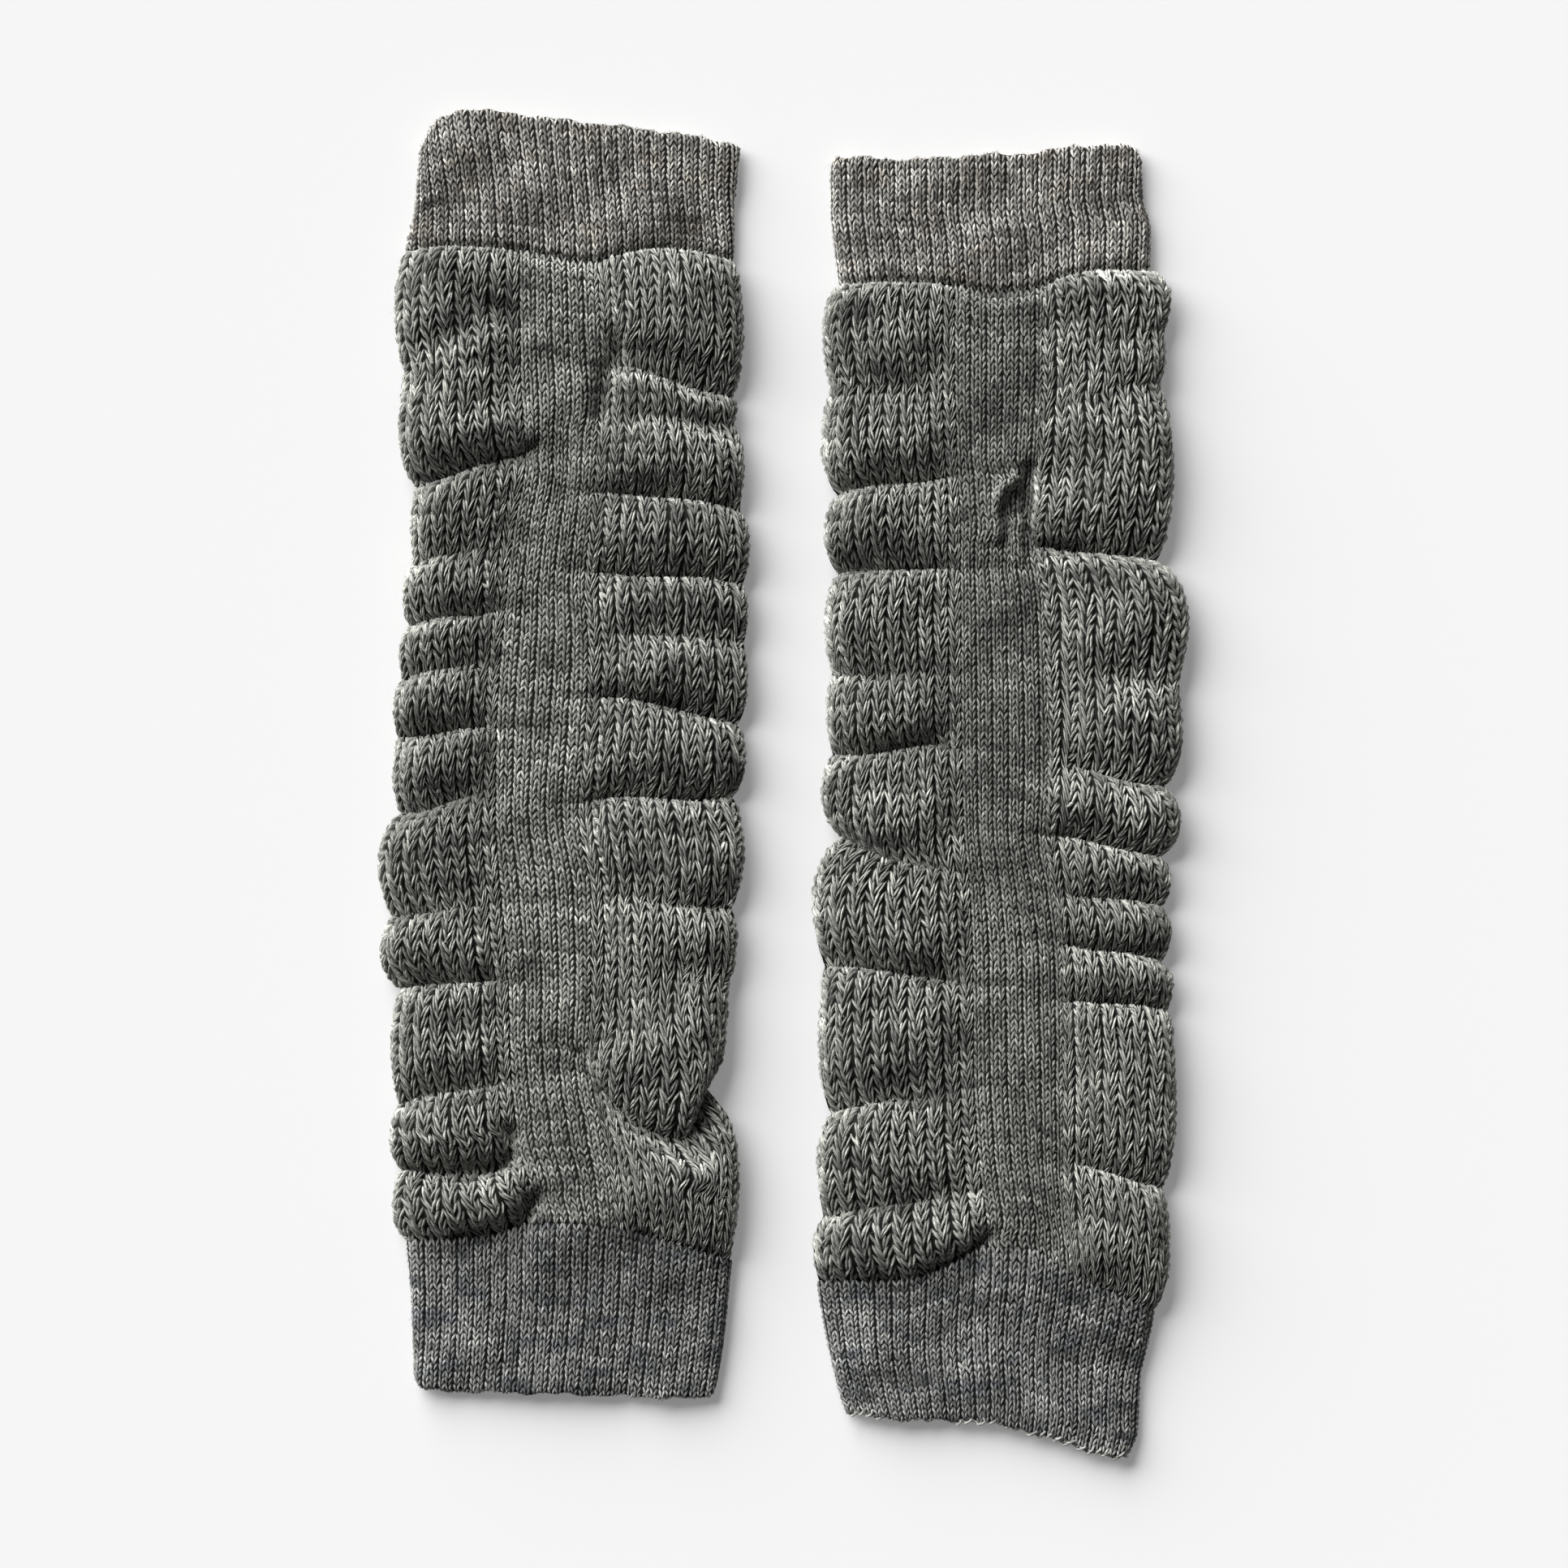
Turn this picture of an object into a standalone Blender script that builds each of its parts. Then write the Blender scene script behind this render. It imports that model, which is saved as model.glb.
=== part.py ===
"""Pair of knitted leg warmers laid flat side by side, in metres with +Z up.

Each leg warmer is a flattened tube of six pieces: a top cuff, a bottom cuff, a front strip, a back
strip, and two chunky side panels that are gathered along the strips into puffs.
The tables and sizes are in millimetres. In them X runs across a leg from its own axis, Y runs up
the leg, and Z is the height over the surface that both legs lie on.
"""

import math
from collections import namedtuple

import bmesh
import bpy

MM = 0.001

# Gap that two pieces keep along a seam.
SEAM_GAP = 0.4

# Side panels: heights of the front wall over the surface, and of the grooves under it.
CREASE_TOP = 5.6
PUFF_RISE = 0.3
LEAST_PUFF = 2.6
MOST_PUFF = 6.4
PANEL_WALL = 2.4
UNDER_WALL = 2.6
UNDER_GROOVE = 0.9
GROOVE_STEEPNESS = 1.8
EDGE_HEIGHT = 3.1
EDGE_LIFT = 0.3
EDGE_ROUNDNESS = 6
EDGE_SWELL = 0.6
# Length of a puff's two flanks along the leg: the lower one is the steeper.
UPPER_FLANK = 9.0
LOWER_FLANK = 6.0
UPPER_FLANK_SHARE = 0.55
LOWER_FLANK_SHARE = 0.45
FLANK_FULLNESS = 0.75
PUFF_CROWN = 0.12
# Sections of a panel: a short puff has them at these shares, a long one on its flanks and between.
SHORT_PUFF_SHARES = (0.0, 0.25, 0.55, 0.85)
LONG_PUFF = 16.0
LONGEST_STEP = 11.0
FLANK_SECTION = 0.3
# The puffs reach their full height at this share of the panel's width, from this share at the strip.
FULL_PUFF_AT = 0.35
STRIP_SHARE = 0.2

# Front and back strips.
STRIP_WALL = 2.2
STRIP_CROWN = 0.3
STRIP_STATIONS = 50
# Rounds that bring a point to the crossing of two seams.
CROSSING_ROUNDS = 5

# Cuffs: a flat tube of fine knit.
CUFF_TOP = 5.0
CUFF_WALL = 2.2
CUFF_ROUNDNESS = 16
CUFF_STATIONS = 4

# Places across the cloth: 0 is a side panel's seam with the strip, 1 is the edge of the leg.
FRONT_COLUMNS = (0.0, 0.15, 0.4, 0.7, 0.88, 0.97, 1.0)
BACK_COLUMNS = (0.97, 0.88, 0.4, 0.0)
STRIP_COLUMNS = (0.0, 0.33, 0.67, 1.0)

LEFT, RIGHT = -1, 1

# One crease of a side panel: where it leaves the strip, where it meets the edge of the leg, how
# deep it is from 0 to 1, how far the edge of the leg reaches there and on the puff below it, and
# how far the middle of the crease bends up the leg.
Fold = namedtuple("Fold", "strip_y edge_y depth crease_reach puff_reach bend")
# One row of a strip: the seams to its left and right.
StripRow = namedtuple("StripRow", "y left right")
# One point of a seam or hem that crosses the leg.
Point = namedtuple("Point", "x y")
# One row of a cuff from its seam, 0, to its hem, 1: the edges of the leg to its left and right.
CuffRow = namedtuple("CuffRow", "share left right")
Cuff = namedtuple("Cuff", "name seam rows hem")
Panel = namedtuple("Panel", "name side folds")
Leg = namedtuple("Leg", "name axis strip top bottom panels")

LEFT_LEG = Leg(
    name="left",
    axis=-67.5,
    strip=(
        StripRow(y=-150, left=-8.2, right=15.8),
        StripRow(y=-134, left=-8.4, right=15.6),
        StripRow(y=-109, left=-14.4, right=12.4),
        StripRow(y=-84, left=-16.6, right=7.5),
        StripRow(y=-59, left=-17.4, right=8.6),
        StripRow(y=-34, left=-19.5, right=8.4),
        StripRow(y=-9, left=-21.2, right=4.4),
        StripRow(y=16, left=-20.9, right=6.4),
        StripRow(y=41, left=-19.4, right=7.6),
        StripRow(y=61, left=-17.6, right=6.4),
        StripRow(y=79, left=-15.4, right=8.1),
        StripRow(y=99, left=-12.0, right=9.9),
        StripRow(y=129, left=-13.6, right=11.4),
        StripRow(y=170, left=-13.9, right=10.0),
    ),
    top=Cuff(
        name="top_cuff",
        seam=(
            Point(-48.9, 163.9),
            Point(-33.9, 165.1),
            Point(-13.9, 163.9),
            Point(6.1, 160.2),
            Point(16.1, 162.4),
            Point(28.6, 164.6),
            Point(41.1, 163.4),
            Point(52.4, 160.9),
        ),
        rows=(
            CuffRow(share=0.0, left=-48.9, right=52.2),
            CuffRow(share=0.5, left=-46.1, right=52.2),
            CuffRow(share=1.0, left=-44.9, right=54.1),
        ),
        hem=(
            Point(-44.9, 194.9),
            Point(-41.9, 200.4),
            Point(-37.6, 205.4),
            Point(-30.1, 207.8),
            Point(-18.9, 206.8),
            Point(1.1, 204.4),
            Point(26.1, 201.4),
            Point(43.6, 198.9),
            Point(54.1, 196.4),
        ),
    ),
    bottom=Cuff(
        name="bottom_cuff",
        seam=(
            Point(-49.1, -140.4),
            Point(-23.9, -139.1),
            Point(-10.1, -134.9),
            Point(2.4, -134.6),
            Point(16.1, -136.6),
            Point(51.9, -146.6),
        ),
        rows=(
            CuffRow(share=0.0, left=-49.1, right=51.8),
            CuffRow(share=0.4, left=-47.6, right=50.1),
            CuffRow(share=0.75, left=-46.9, right=48.4),
            CuffRow(share=1.0, left=-46.4, right=46.6),
        ),
        hem=(
            Point(-46.4, -181.6),
            Point(-44.9, -185.2),
            Point(-41.4, -186.6),
            Point(-33.9, -186.9),
            Point(1.1, -187.9),
            Point(42.1, -189.1),
            Point(45.6, -187.4),
            Point(46.6, -184.0),
        ),
    ),
    panels=(
        Panel(
            name="outer_panel",
            side=LEFT,
            folds=(
                Fold(163.4, 163.4, depth=1.0, crease_reach=48.9, puff_reach=52.4, bend=0),
                Fold(129.4, 127.6, depth=0.45, crease_reach=49.5, puff_reach=51.1, bend=0),
                Fold(101.4, 91.4, depth=1.0, crease_reach=46.0, puff_reach=47.4, bend=0),
                Fold(74.1, 66.9, depth=0.7, crease_reach=47.1, puff_reach=50.1, bend=1),
                Fold(54.1, 47.9, depth=1.0, crease_reach=47.9, puff_reach=51.1, bend=0),
                Fold(37.6, 31.4, depth=0.6, crease_reach=50.3, puff_reach=52.9, bend=1),
                Fold(17.4, 13.9, depth=1.0, crease_reach=52.0, puff_reach=52.9, bend=0),
                Fold(-3.1, -9.4, depth=0.6, crease_reach=50.5, puff_reach=57.4, bend=0),
                Fold(-36.1, -40.6, depth=0.5, crease_reach=53.1, puff_reach=56.9, bend=0),
                Fold(-59.9, -63.1, depth=1.0, crease_reach=50.6, puff_reach=53.4, bend=0),
                Fold(-90.6, -99.1, depth=0.7, crease_reach=51.5, puff_reach=53.9, bend=0),
                Fold(-116.1, -118.6, depth=1.0, crease_reach=50.9, puff_reach=53.1, bend=-3),
                Fold(-134.9, -140.4, depth=1.0, crease_reach=49.1, puff_reach=49.1, bend=0),
            ),
        ),
        Panel(
            name="inner_panel",
            side=RIGHT,
            folds=(
                Fold(160.9, 161.1, depth=1.0, crease_reach=52.2, puff_reach=55.4, bend=0),
                Fold(128.9, 118.9, depth=0.8, crease_reach=51.9, puff_reach=53.5, bend=0),
                Fold(114.4, 110.4, depth=0.5, crease_reach=53.0, puff_reach=55.6, bend=0),
                Fold(89.9, 83.4, depth=1.0, crease_reach=55.0, puff_reach=57.6, bend=1),
                Fold(65.9, 60.9, depth=1.0, crease_reach=55.6, puff_reach=57.1, bend=0),
                Fold(47.4, 43.4, depth=0.5, crease_reach=56.0, puff_reach=57.0, bend=0),
                Fold(27.1, 18.1, depth=1.0, crease_reach=53.9, puff_reach=56.4, bend=1),
                Fold(-5.6, -3.9, depth=1.0, crease_reach=52.4, puff_reach=55.6, bend=0),
                Fold(-34.9, -38.1, depth=0.5, crease_reach=52.1, puff_reach=53.4, bend=0),
                Fold(-58.1, -57.4, depth=0.3, crease_reach=53.0, puff_reach=50.5, bend=0),
                Fold(-88.6, -92.4, depth=1.0, crease_reach=43.6, puff_reach=54.1, bend=-14),
                Fold(-136.6, -146.6, depth=1.0, crease_reach=51.8, puff_reach=51.8, bend=0),
            ),
        ),
    ),
)

RIGHT_LEG = Leg(
    name="right",
    axis=66.5,
    strip=(
        StripRow(y=-165, left=-3.6, right=22.3),
        StripRow(y=-149, left=-3.9, right=22.1),
        StripRow(y=-134, left=-4.6, right=20.4),
        StripRow(y=-116, left=-6.9, right=19.1),
        StripRow(y=-84, left=-8.6, right=19.1),
        StripRow(y=-59, left=-8.7, right=18.9),
        StripRow(y=-34, left=-9.6, right=16.4),
        StripRow(y=-16, left=-11.4, right=13.6),
        StripRow(y=4, left=-12.1, right=14.4),
        StripRow(y=54, left=-12.5, right=13.4),
        StripRow(y=79, left=-12.6, right=9.9),
        StripRow(y=91, left=-13.2, right=10.7),
        StripRow(y=129, left=-14.4, right=12.9),
        StripRow(y=165, left=-14.4, right=12.9),
    ),
    top=Cuff(
        name="top_cuff",
        seam=(
            Point(-49.9, 153.4),
            Point(-32.9, 154.1),
            Point(-15.1, 153.4),
            Point(-2.9, 150.9),
            Point(8.9, 151.6),
            Point(17.1, 154.9),
            Point(27.1, 157.4),
            Point(46.4, 157.9),
        ),
        rows=(
            CuffRow(share=0.0, left=-49.9, right=46.4),
            CuffRow(share=0.35, left=-51.4, right=46.4),
            CuffRow(share=0.65, left=-52.4, right=43.9),
            CuffRow(share=1.0, left=-52.4, right=43.4),
        ),
        hem=(
            Point(-52.4, 191.4),
            Point(-50.4, 193.1),
            Point(-42.9, 192.9),
            Point(-27.9, 192.4),
            Point(-7.9, 193.6),
            Point(12.1, 194.6),
            Point(24.6, 196.6),
            Point(37.1, 196.6),
            Point(42.1, 195.4),
            Point(43.4, 192.6),
        ),
    ),
    bottom=Cuff(
        name="bottom_cuff",
        seam=(
            Point(-56.6, -152.9),
            Point(-31.1, -152.6),
            Point(-15.1, -147.4),
            Point(-3.9, -141.9),
            Point(9.1, -142.4),
            Point(21.6, -149.9),
            Point(34.6, -156.1),
            Point(47.6, -162.1),
        ),
        rows=(
            CuffRow(share=0.0, left=-56.6, right=47.4),
            CuffRow(share=0.2, left=-55.4, right=45.9),
            CuffRow(share=0.5, left=-53.1, right=43.1),
            CuffRow(share=0.85, left=-49.9, right=42.4),
            CuffRow(share=1.0, left=-47.9, right=40.4),
        ),
        hem=(
            Point(-47.9, -193.6),
            Point(-42.9, -194.4),
            Point(-25.4, -195.6),
            Point(-10.4, -196.1),
            Point(2.1, -197.4),
            Point(14.6, -201.1),
            Point(27.1, -204.9),
            Point(37.6, -207.4),
            Point(40.4, -206.1),
        ),
    ),
    panels=(
        Panel(
            name="inner_panel",
            side=LEFT,
            folds=(
                Fold(153.4, 153.4, depth=1.0, crease_reach=49.9, puff_reach=55.1, bend=0),
                Fold(124.4, 121.4, depth=0.45, crease_reach=52.4, puff_reach=55.4, bend=0),
                Fold(95.1, 88.4, depth=1.0, crease_reach=50.6, puff_reach=54.6, bend=0),
                Fold(66.6, 64.4, depth=1.0, crease_reach=50.4, puff_reach=54.4, bend=0),
                Fold(33.4, 33.9, depth=0.7, crease_reach=52.4, puff_reach=53.9, bend=0),
                Fold(11.4, 8.9, depth=1.0, crease_reach=52.6, puff_reach=55.6, bend=0),
                Fold(-27.4, -16.1, depth=0.7, crease_reach=48.4, puff_reach=58.4, bend=-3),
                Fold(-61.1, -56.1, depth=1.0, crease_reach=55.1, puff_reach=56.4, bend=0),
                Fold(-92.6, -101.6, depth=0.7, crease_reach=52.6, puff_reach=56.9, bend=0),
                Fold(-124.1, -133.6, depth=0.6, crease_reach=55.1, puff_reach=58.4, bend=0),
                Fold(-142.4, -152.9, depth=1.0, crease_reach=56.6, puff_reach=56.6, bend=0),
            ),
        ),
        Panel(
            name="outer_panel",
            side=RIGHT,
            folds=(
                Fold(153.4, 157.9, depth=1.0, crease_reach=46.4, puff_reach=53.1, bend=0),
                Fold(129.4, 139.4, depth=0.6, crease_reach=51.0, puff_reach=51.5, bend=0),
                Fold(116.9, 123.4, depth=0.4, crease_reach=49.6, puff_reach=53.6, bend=0),
                Fold(73.1, 68.1, depth=1.0, crease_reach=48.6, puff_reach=58.4, bend=0),
                Fold(35.9, 31.4, depth=0.5, crease_reach=55.5, puff_reach=56.6, bend=0),
                Fold(5.6, -0.6, depth=0.7, crease_reach=50.4, puff_reach=55.9, bend=0),
                Fold(-15.4, -22.6, depth=1.0, crease_reach=49.9, puff_reach=53.1, bend=0),
                Fold(-33.1, -37.9, depth=0.7, crease_reach=49.6, puff_reach=53.1, bend=0),
                Fold(-48.1, -55.4, depth=1.0, crease_reach=49.9, puff_reach=53.6, bend=0),
                Fold(-65.9, -69.9, depth=1.0, crease_reach=52.4, puff_reach=54.4, bend=0),
                Fold(-116.1, -124.1, depth=0.7, crease_reach=50.4, puff_reach=52.4, bend=0),
                Fold(-151.4, -162.0, depth=0.8, crease_reach=47.4, puff_reach=47.4, bend=0),
            ),
        ),
    ),
)

KNIT_COLOURS = {
    "cuff": (0.135, 0.132, 0.126, 1.0),
    "strip": (0.150, 0.152, 0.146, 1.0),
    "panel": (0.120, 0.124, 0.117, 1.0),
}
KNIT_ROUGHNESS = 0.95
SHARP_DEGREES = 50


def lerp(start, end, share):
    """Value a share of the way from start to end."""
    return start + (end - start) * share


def smooth(rows, at):
    """Value at a place on a smooth curve through rows of (place, value), with no overshoot."""
    places = [row[0] for row in rows]
    values = [row[1] for row in rows]
    if at <= places[0]:
        return values[0]
    if at >= places[-1]:
        return values[-1]
    slopes = [
        (values[i + 1] - values[i]) / (places[i + 1] - places[i]) for i in range(len(rows) - 1)
    ]
    tangents = [slopes[0]]
    for before, after in zip(slopes, slopes[1:]):
        tangents.append(2 * before * after / (before + after) if before * after > 0 else 0.0)
    tangents.append(slopes[-1])
    i = max(k for k, place in enumerate(places[:-1]) if place <= at)
    step = places[i + 1] - places[i]
    t = (at - places[i]) / step
    return (
        values[i] * (1 + 2 * t) * (1 - t) ** 2
        + tangents[i] * step * t * (1 - t) ** 2
        + values[i + 1] * t * t * (3 - 2 * t)
        + tangents[i + 1] * step * t * t * (t - 1)
    )


def strip_edge(leg, side, y):
    """X of the seam between the strip and the side panel on this side."""
    return smooth([(row.y, row.left if side == LEFT else row.right) for row in leg.strip], y)


def puff_height(folds, number):
    """Height of one puff over its creases, from the distance between them."""
    upper, lower = folds[number], folds[number + 1]
    length = (upper.strip_y + upper.edge_y - lower.strip_y - lower.edge_y) / 2
    return min(max(PUFF_RISE * length, LEAST_PUFF), MOST_PUFF)


def crease_height(folds, number):
    """Height that is left in a crease that isn't full depth."""
    last = len(folds) - 2
    beside = puff_height(folds, max(number - 1, 0)), puff_height(folds, min(number, last))
    return (1 - folds[number].depth) * sum(beside) / 2


def flank(share):
    """Rise of a puff from its crease, 0, to its full height, 1."""
    return math.sin(min(max(share, 0.0), 1.0) * math.pi / 2) ** FLANK_FULLNESS


def cloth_height(folds, number, share):
    """Height over the crease level, a share of the way from one crease to the next."""
    upper, lower = folds[number], folds[number + 1]
    length = upper.strip_y - lower.strip_y
    bulge = flank(share * length / min(UPPER_FLANK, length * UPPER_FLANK_SHARE))
    bulge *= flank((1 - share) * length / min(LOWER_FLANK, length * LOWER_FLANK_SHARE))
    bulge *= 1 - PUFF_CROWN * (1 - math.sin(math.pi * share))
    floor = lerp(crease_height(folds, number), crease_height(folds, number + 1), share)
    return lerp(floor, puff_height(folds, number), bulge)


def height_at_strip(folds, y):
    """Height of a panel's cloth at this place along the strip."""
    for number in range(len(folds) - 1):
        upper, lower = folds[number].strip_y, folds[number + 1].strip_y
        if y >= lower:
            return cloth_height(folds, number, min(max((upper - y) / (upper - lower), 0), 1))
    return cloth_height(folds, len(folds) - 2, 1.0)


def seam_height(leg, cuff, x):
    """Y of a cuff's seam at a place across the leg."""
    return smooth(cuff.seam, x)


def seam_place(leg, cuff, side, reach, across):
    """The point of a cuff's seam that is this share of the way from the strip to the edge."""
    start = strip_edge(leg, side, seam_height(leg, cuff, 0.0))
    for _ in range(CROSSING_ROUNDS):
        start = strip_edge(leg, side, seam_height(leg, cuff, start))
    x = lerp(start, side * reach, across)
    return Point(x, seam_height(leg, cuff, x))


def crease_line(leg, panel, number, across):
    """Y of one crease, this share of the way from the strip to the edge of the leg."""
    fold = panel.folds[number]
    if number == 0:
        place = seam_place(leg, leg.top, panel.side, fold.crease_reach, across)
        return place.y - SEAM_GAP / 2
    if number == len(panel.folds) - 1:
        place = seam_place(leg, leg.bottom, panel.side, fold.crease_reach, across)
        return place.y + SEAM_GAP / 2
    return lerp(fold.strip_y, fold.edge_y, across) + fold.bend * math.sin(math.pi * across)


def panel_stations(folds):
    """Crease number and share of the way to the next one, for each section of a panel."""
    stations = []
    for number in range(len(folds) - 1):
        length = folds[number].strip_y - folds[number + 1].strip_y
        shares = SHORT_PUFF_SHARES
        if length > LONG_PUFF:
            upper = UPPER_FLANK / length
            lower = LOWER_FLANK / length
            steps = math.ceil((1 - lower - upper) * length / LONGEST_STEP)
            level = [lerp(upper, 1 - lower, step / steps) for step in range(steps + 1)]
            shares = (0.0, FLANK_SECTION * upper, *level, 1 - FLANK_SECTION * lower)
        stations += [(number, share) for share in shares]
    return stations + [(len(folds) - 2, 1.0)]


def panel_section(leg, panel, number, share):
    """Outer and inner points of one section, from the front strip round the edge to the back."""
    folds = panel.folds
    height = cloth_height(folds, number, share)
    swell = math.sin(math.pi * share) ** EDGE_SWELL if 0 < share < 1 else 0.0
    reach = lerp(folds[number].crease_reach, folds[number + 1].crease_reach, share)
    reach = lerp(reach, folds[number].puff_reach, swell)
    fullness = height / puff_height(folds, number)
    groove = UNDER_GROOVE * max(0.0, 1 - GROOVE_STEEPNESS * fullness)
    middle = EDGE_HEIGHT + EDGE_LIFT * height
    start_y = lerp(
        crease_line(leg, panel, number, 0), crease_line(leg, panel, number + 1, 0), share
    )
    start = strip_edge(leg, panel.side, start_y) + panel.side * SEAM_GAP / 2
    outer, inner = [], []
    edge = panel.side * reach
    inside = (edge - panel.side * PANEL_WALL - start) / (edge - start)
    for place, across in enumerate(FRONT_COLUMNS + BACK_COLUMNS):
        x, inner_x = lerp(start, edge, across), lerp(start, edge, across * inside)
        y, inner_y = (
            lerp(
                crease_line(leg, panel, number, at), crease_line(leg, panel, number + 1, at), share
            )
            for at in (across, across * inside)
        )
        roll = math.sqrt(1 - across**EDGE_ROUNDNESS)
        if place < len(FRONT_COLUMNS):
            rise = math.sin(min(across / FULL_PUFF_AT, 1) * math.pi / 2)
            top = CREASE_TOP + height * lerp(STRIP_SHARE, 1, rise)
            outer_z = lerp(middle, top, roll)
            inner_z = lerp(middle, top - PANEL_WALL, roll)
        else:
            outer_z = lerp(middle, groove, roll)
            inner_z = lerp(middle, UNDER_WALL, roll)
        outer.append((leg.axis + x, y, outer_z))
        inner.append((leg.axis + inner_x, inner_y, inner_z))
    return outer, inner


def panel_wall(leg, panel):
    """Grids of outer and inner points of a side panel."""
    sections = [panel_section(leg, panel, *station) for station in panel_stations(panel.folds)]
    return [outer for outer, _ in sections], [inner for _, inner in sections]


def strip_place(leg, along, across):
    """X and Y on a strip, at shares of its length from the top and of its width from the left."""
    edges = []
    for side in (LEFT, RIGHT):
        x, y = 0.0, 0.0
        for _ in range(CROSSING_ROUNDS):
            top = seam_height(leg, leg.top, x) - SEAM_GAP / 2
            bottom = seam_height(leg, leg.bottom, x) + SEAM_GAP / 2
            y = lerp(top, bottom, along)
            x = strip_edge(leg, side, y) - side * SEAM_GAP / 2
        edges.append(x)
    x = lerp(*edges, across)
    top = seam_height(leg, leg.top, x) - SEAM_GAP / 2
    bottom = seam_height(leg, leg.bottom, x) + SEAM_GAP / 2
    return Point(x, lerp(top, bottom, along))


def front_strip_wall(leg):
    """Grids of a front strip: it dips and swells with the puffs on both sides of it."""
    outer, inner = [], []
    folds = {panel.side: panel.folds for panel in leg.panels}
    for station in range(STRIP_STATIONS + 1):
        tops, floors = [], []
        for across in STRIP_COLUMNS:
            x, y = strip_place(leg, station / STRIP_STATIONS, across)
            swell = lerp(
                height_at_strip(folds[LEFT], y), height_at_strip(folds[RIGHT], y), across
            )
            crown = STRIP_CROWN * 4 * across * (1 - across)
            top = CREASE_TOP + STRIP_SHARE * swell + crown
            tops.append((leg.axis + x, y, top))
            floors.append((leg.axis + x, y, top - STRIP_WALL))
        outer.append(tops)
        inner.append(floors)
    return outer, inner


def back_strip_wall(leg):
    """Grids of a back strip, flat on the surface."""
    outer, inner = [], []
    for station in range(STRIP_STATIONS + 1):
        places = [strip_place(leg, station / STRIP_STATIONS, across) for across in (0.0, 1.0)]
        outer.append([(leg.axis + x, y, 0.0) for x, y in places])
        inner.append([(leg.axis + x, y, STRIP_WALL) for x, y in places])
    return outer, inner


def cuff_columns(leg, cuff, wall):
    """Points of a cuff's seam, in order round the tube: place, and whether it is at the front."""
    end = 0 if cuff is leg.top else -1
    reaches = {panel.side: panel.folds[end].crease_reach - wall for panel in leg.panels}

    def on_panel(side, across):
        return seam_place(leg, cuff, side, reaches[side], across)

    front = [on_panel(LEFT, across) for across in reversed(FRONT_COLUMNS)]
    starts = front[-1].x, on_panel(RIGHT, 0.0).x
    for across in STRIP_COLUMNS[1:-1]:
        x = lerp(*starts, across)
        front.append(Point(x, seam_height(leg, cuff, x)))
    front += [on_panel(RIGHT, across) for across in FRONT_COLUMNS]
    back = [on_panel(RIGHT, across) for across in BACK_COLUMNS]
    back += [on_panel(LEFT, across) for across in reversed(BACK_COLUMNS)]
    return [(place, True) for place in front] + [(place, False) for place in back]


def cuff_grid(leg, cuff, wall, top, floor, middle):
    """Grid of points of a cuff's outer or inner surface, from the seam to the hem."""
    columns = cuff_columns(leg, cuff, wall)
    first_left, first_right = cuff.rows[0].left + wall, cuff.rows[0].right - wall
    hem_left, hem_right = cuff.rows[-1].left + wall, cuff.rows[-1].right - wall
    away = 1 if cuff is leg.top else -1
    grid = []
    for station in range(CUFF_STATIONS + 1):
        along = station / CUFF_STATIONS
        left = smooth([(row.share, row.left) for row in cuff.rows], along) + wall
        right = smooth([(row.share, row.right) for row in cuff.rows], along) - wall
        points = []
        for place, at_front in columns:
            across = (place.x - first_left) / (first_right - first_left)
            x = lerp(left, right, across)
            hem_y = smooth(cuff.hem, lerp(hem_left, hem_right, across))
            y = lerp(place.y + away * SEAM_GAP / 2, hem_y, along)
            roll = math.sqrt(max(0.0, 1 - abs(2 * across - 1) ** CUFF_ROUNDNESS))
            points.append((leg.axis + x, y, lerp(middle, top if at_front else floor, roll)))
        grid.append(points)
    return grid


def cuff_wall(leg, cuff):
    """Grids of outer and inner points of a cuff."""
    middle = CUFF_TOP / 2
    outer = cuff_grid(leg, cuff, 0.0, CUFF_TOP, 0.0, middle)
    inner = cuff_grid(leg, cuff, CUFF_WALL, CUFF_TOP - CUFF_WALL, CUFF_WALL, middle)
    return outer, inner


def knit_material(name, colour):
    """Plain matt material of one knitted piece."""
    material = bpy.data.materials.new(name)
    material.use_nodes = True
    shader = material.node_tree.nodes["Principled BSDF"]
    shader.inputs["Base Color"].default_value = colour
    shader.inputs["Roughness"].default_value = KNIT_ROUGHNESS
    shader.inputs["Metallic"].default_value = 0.0
    return material


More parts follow.
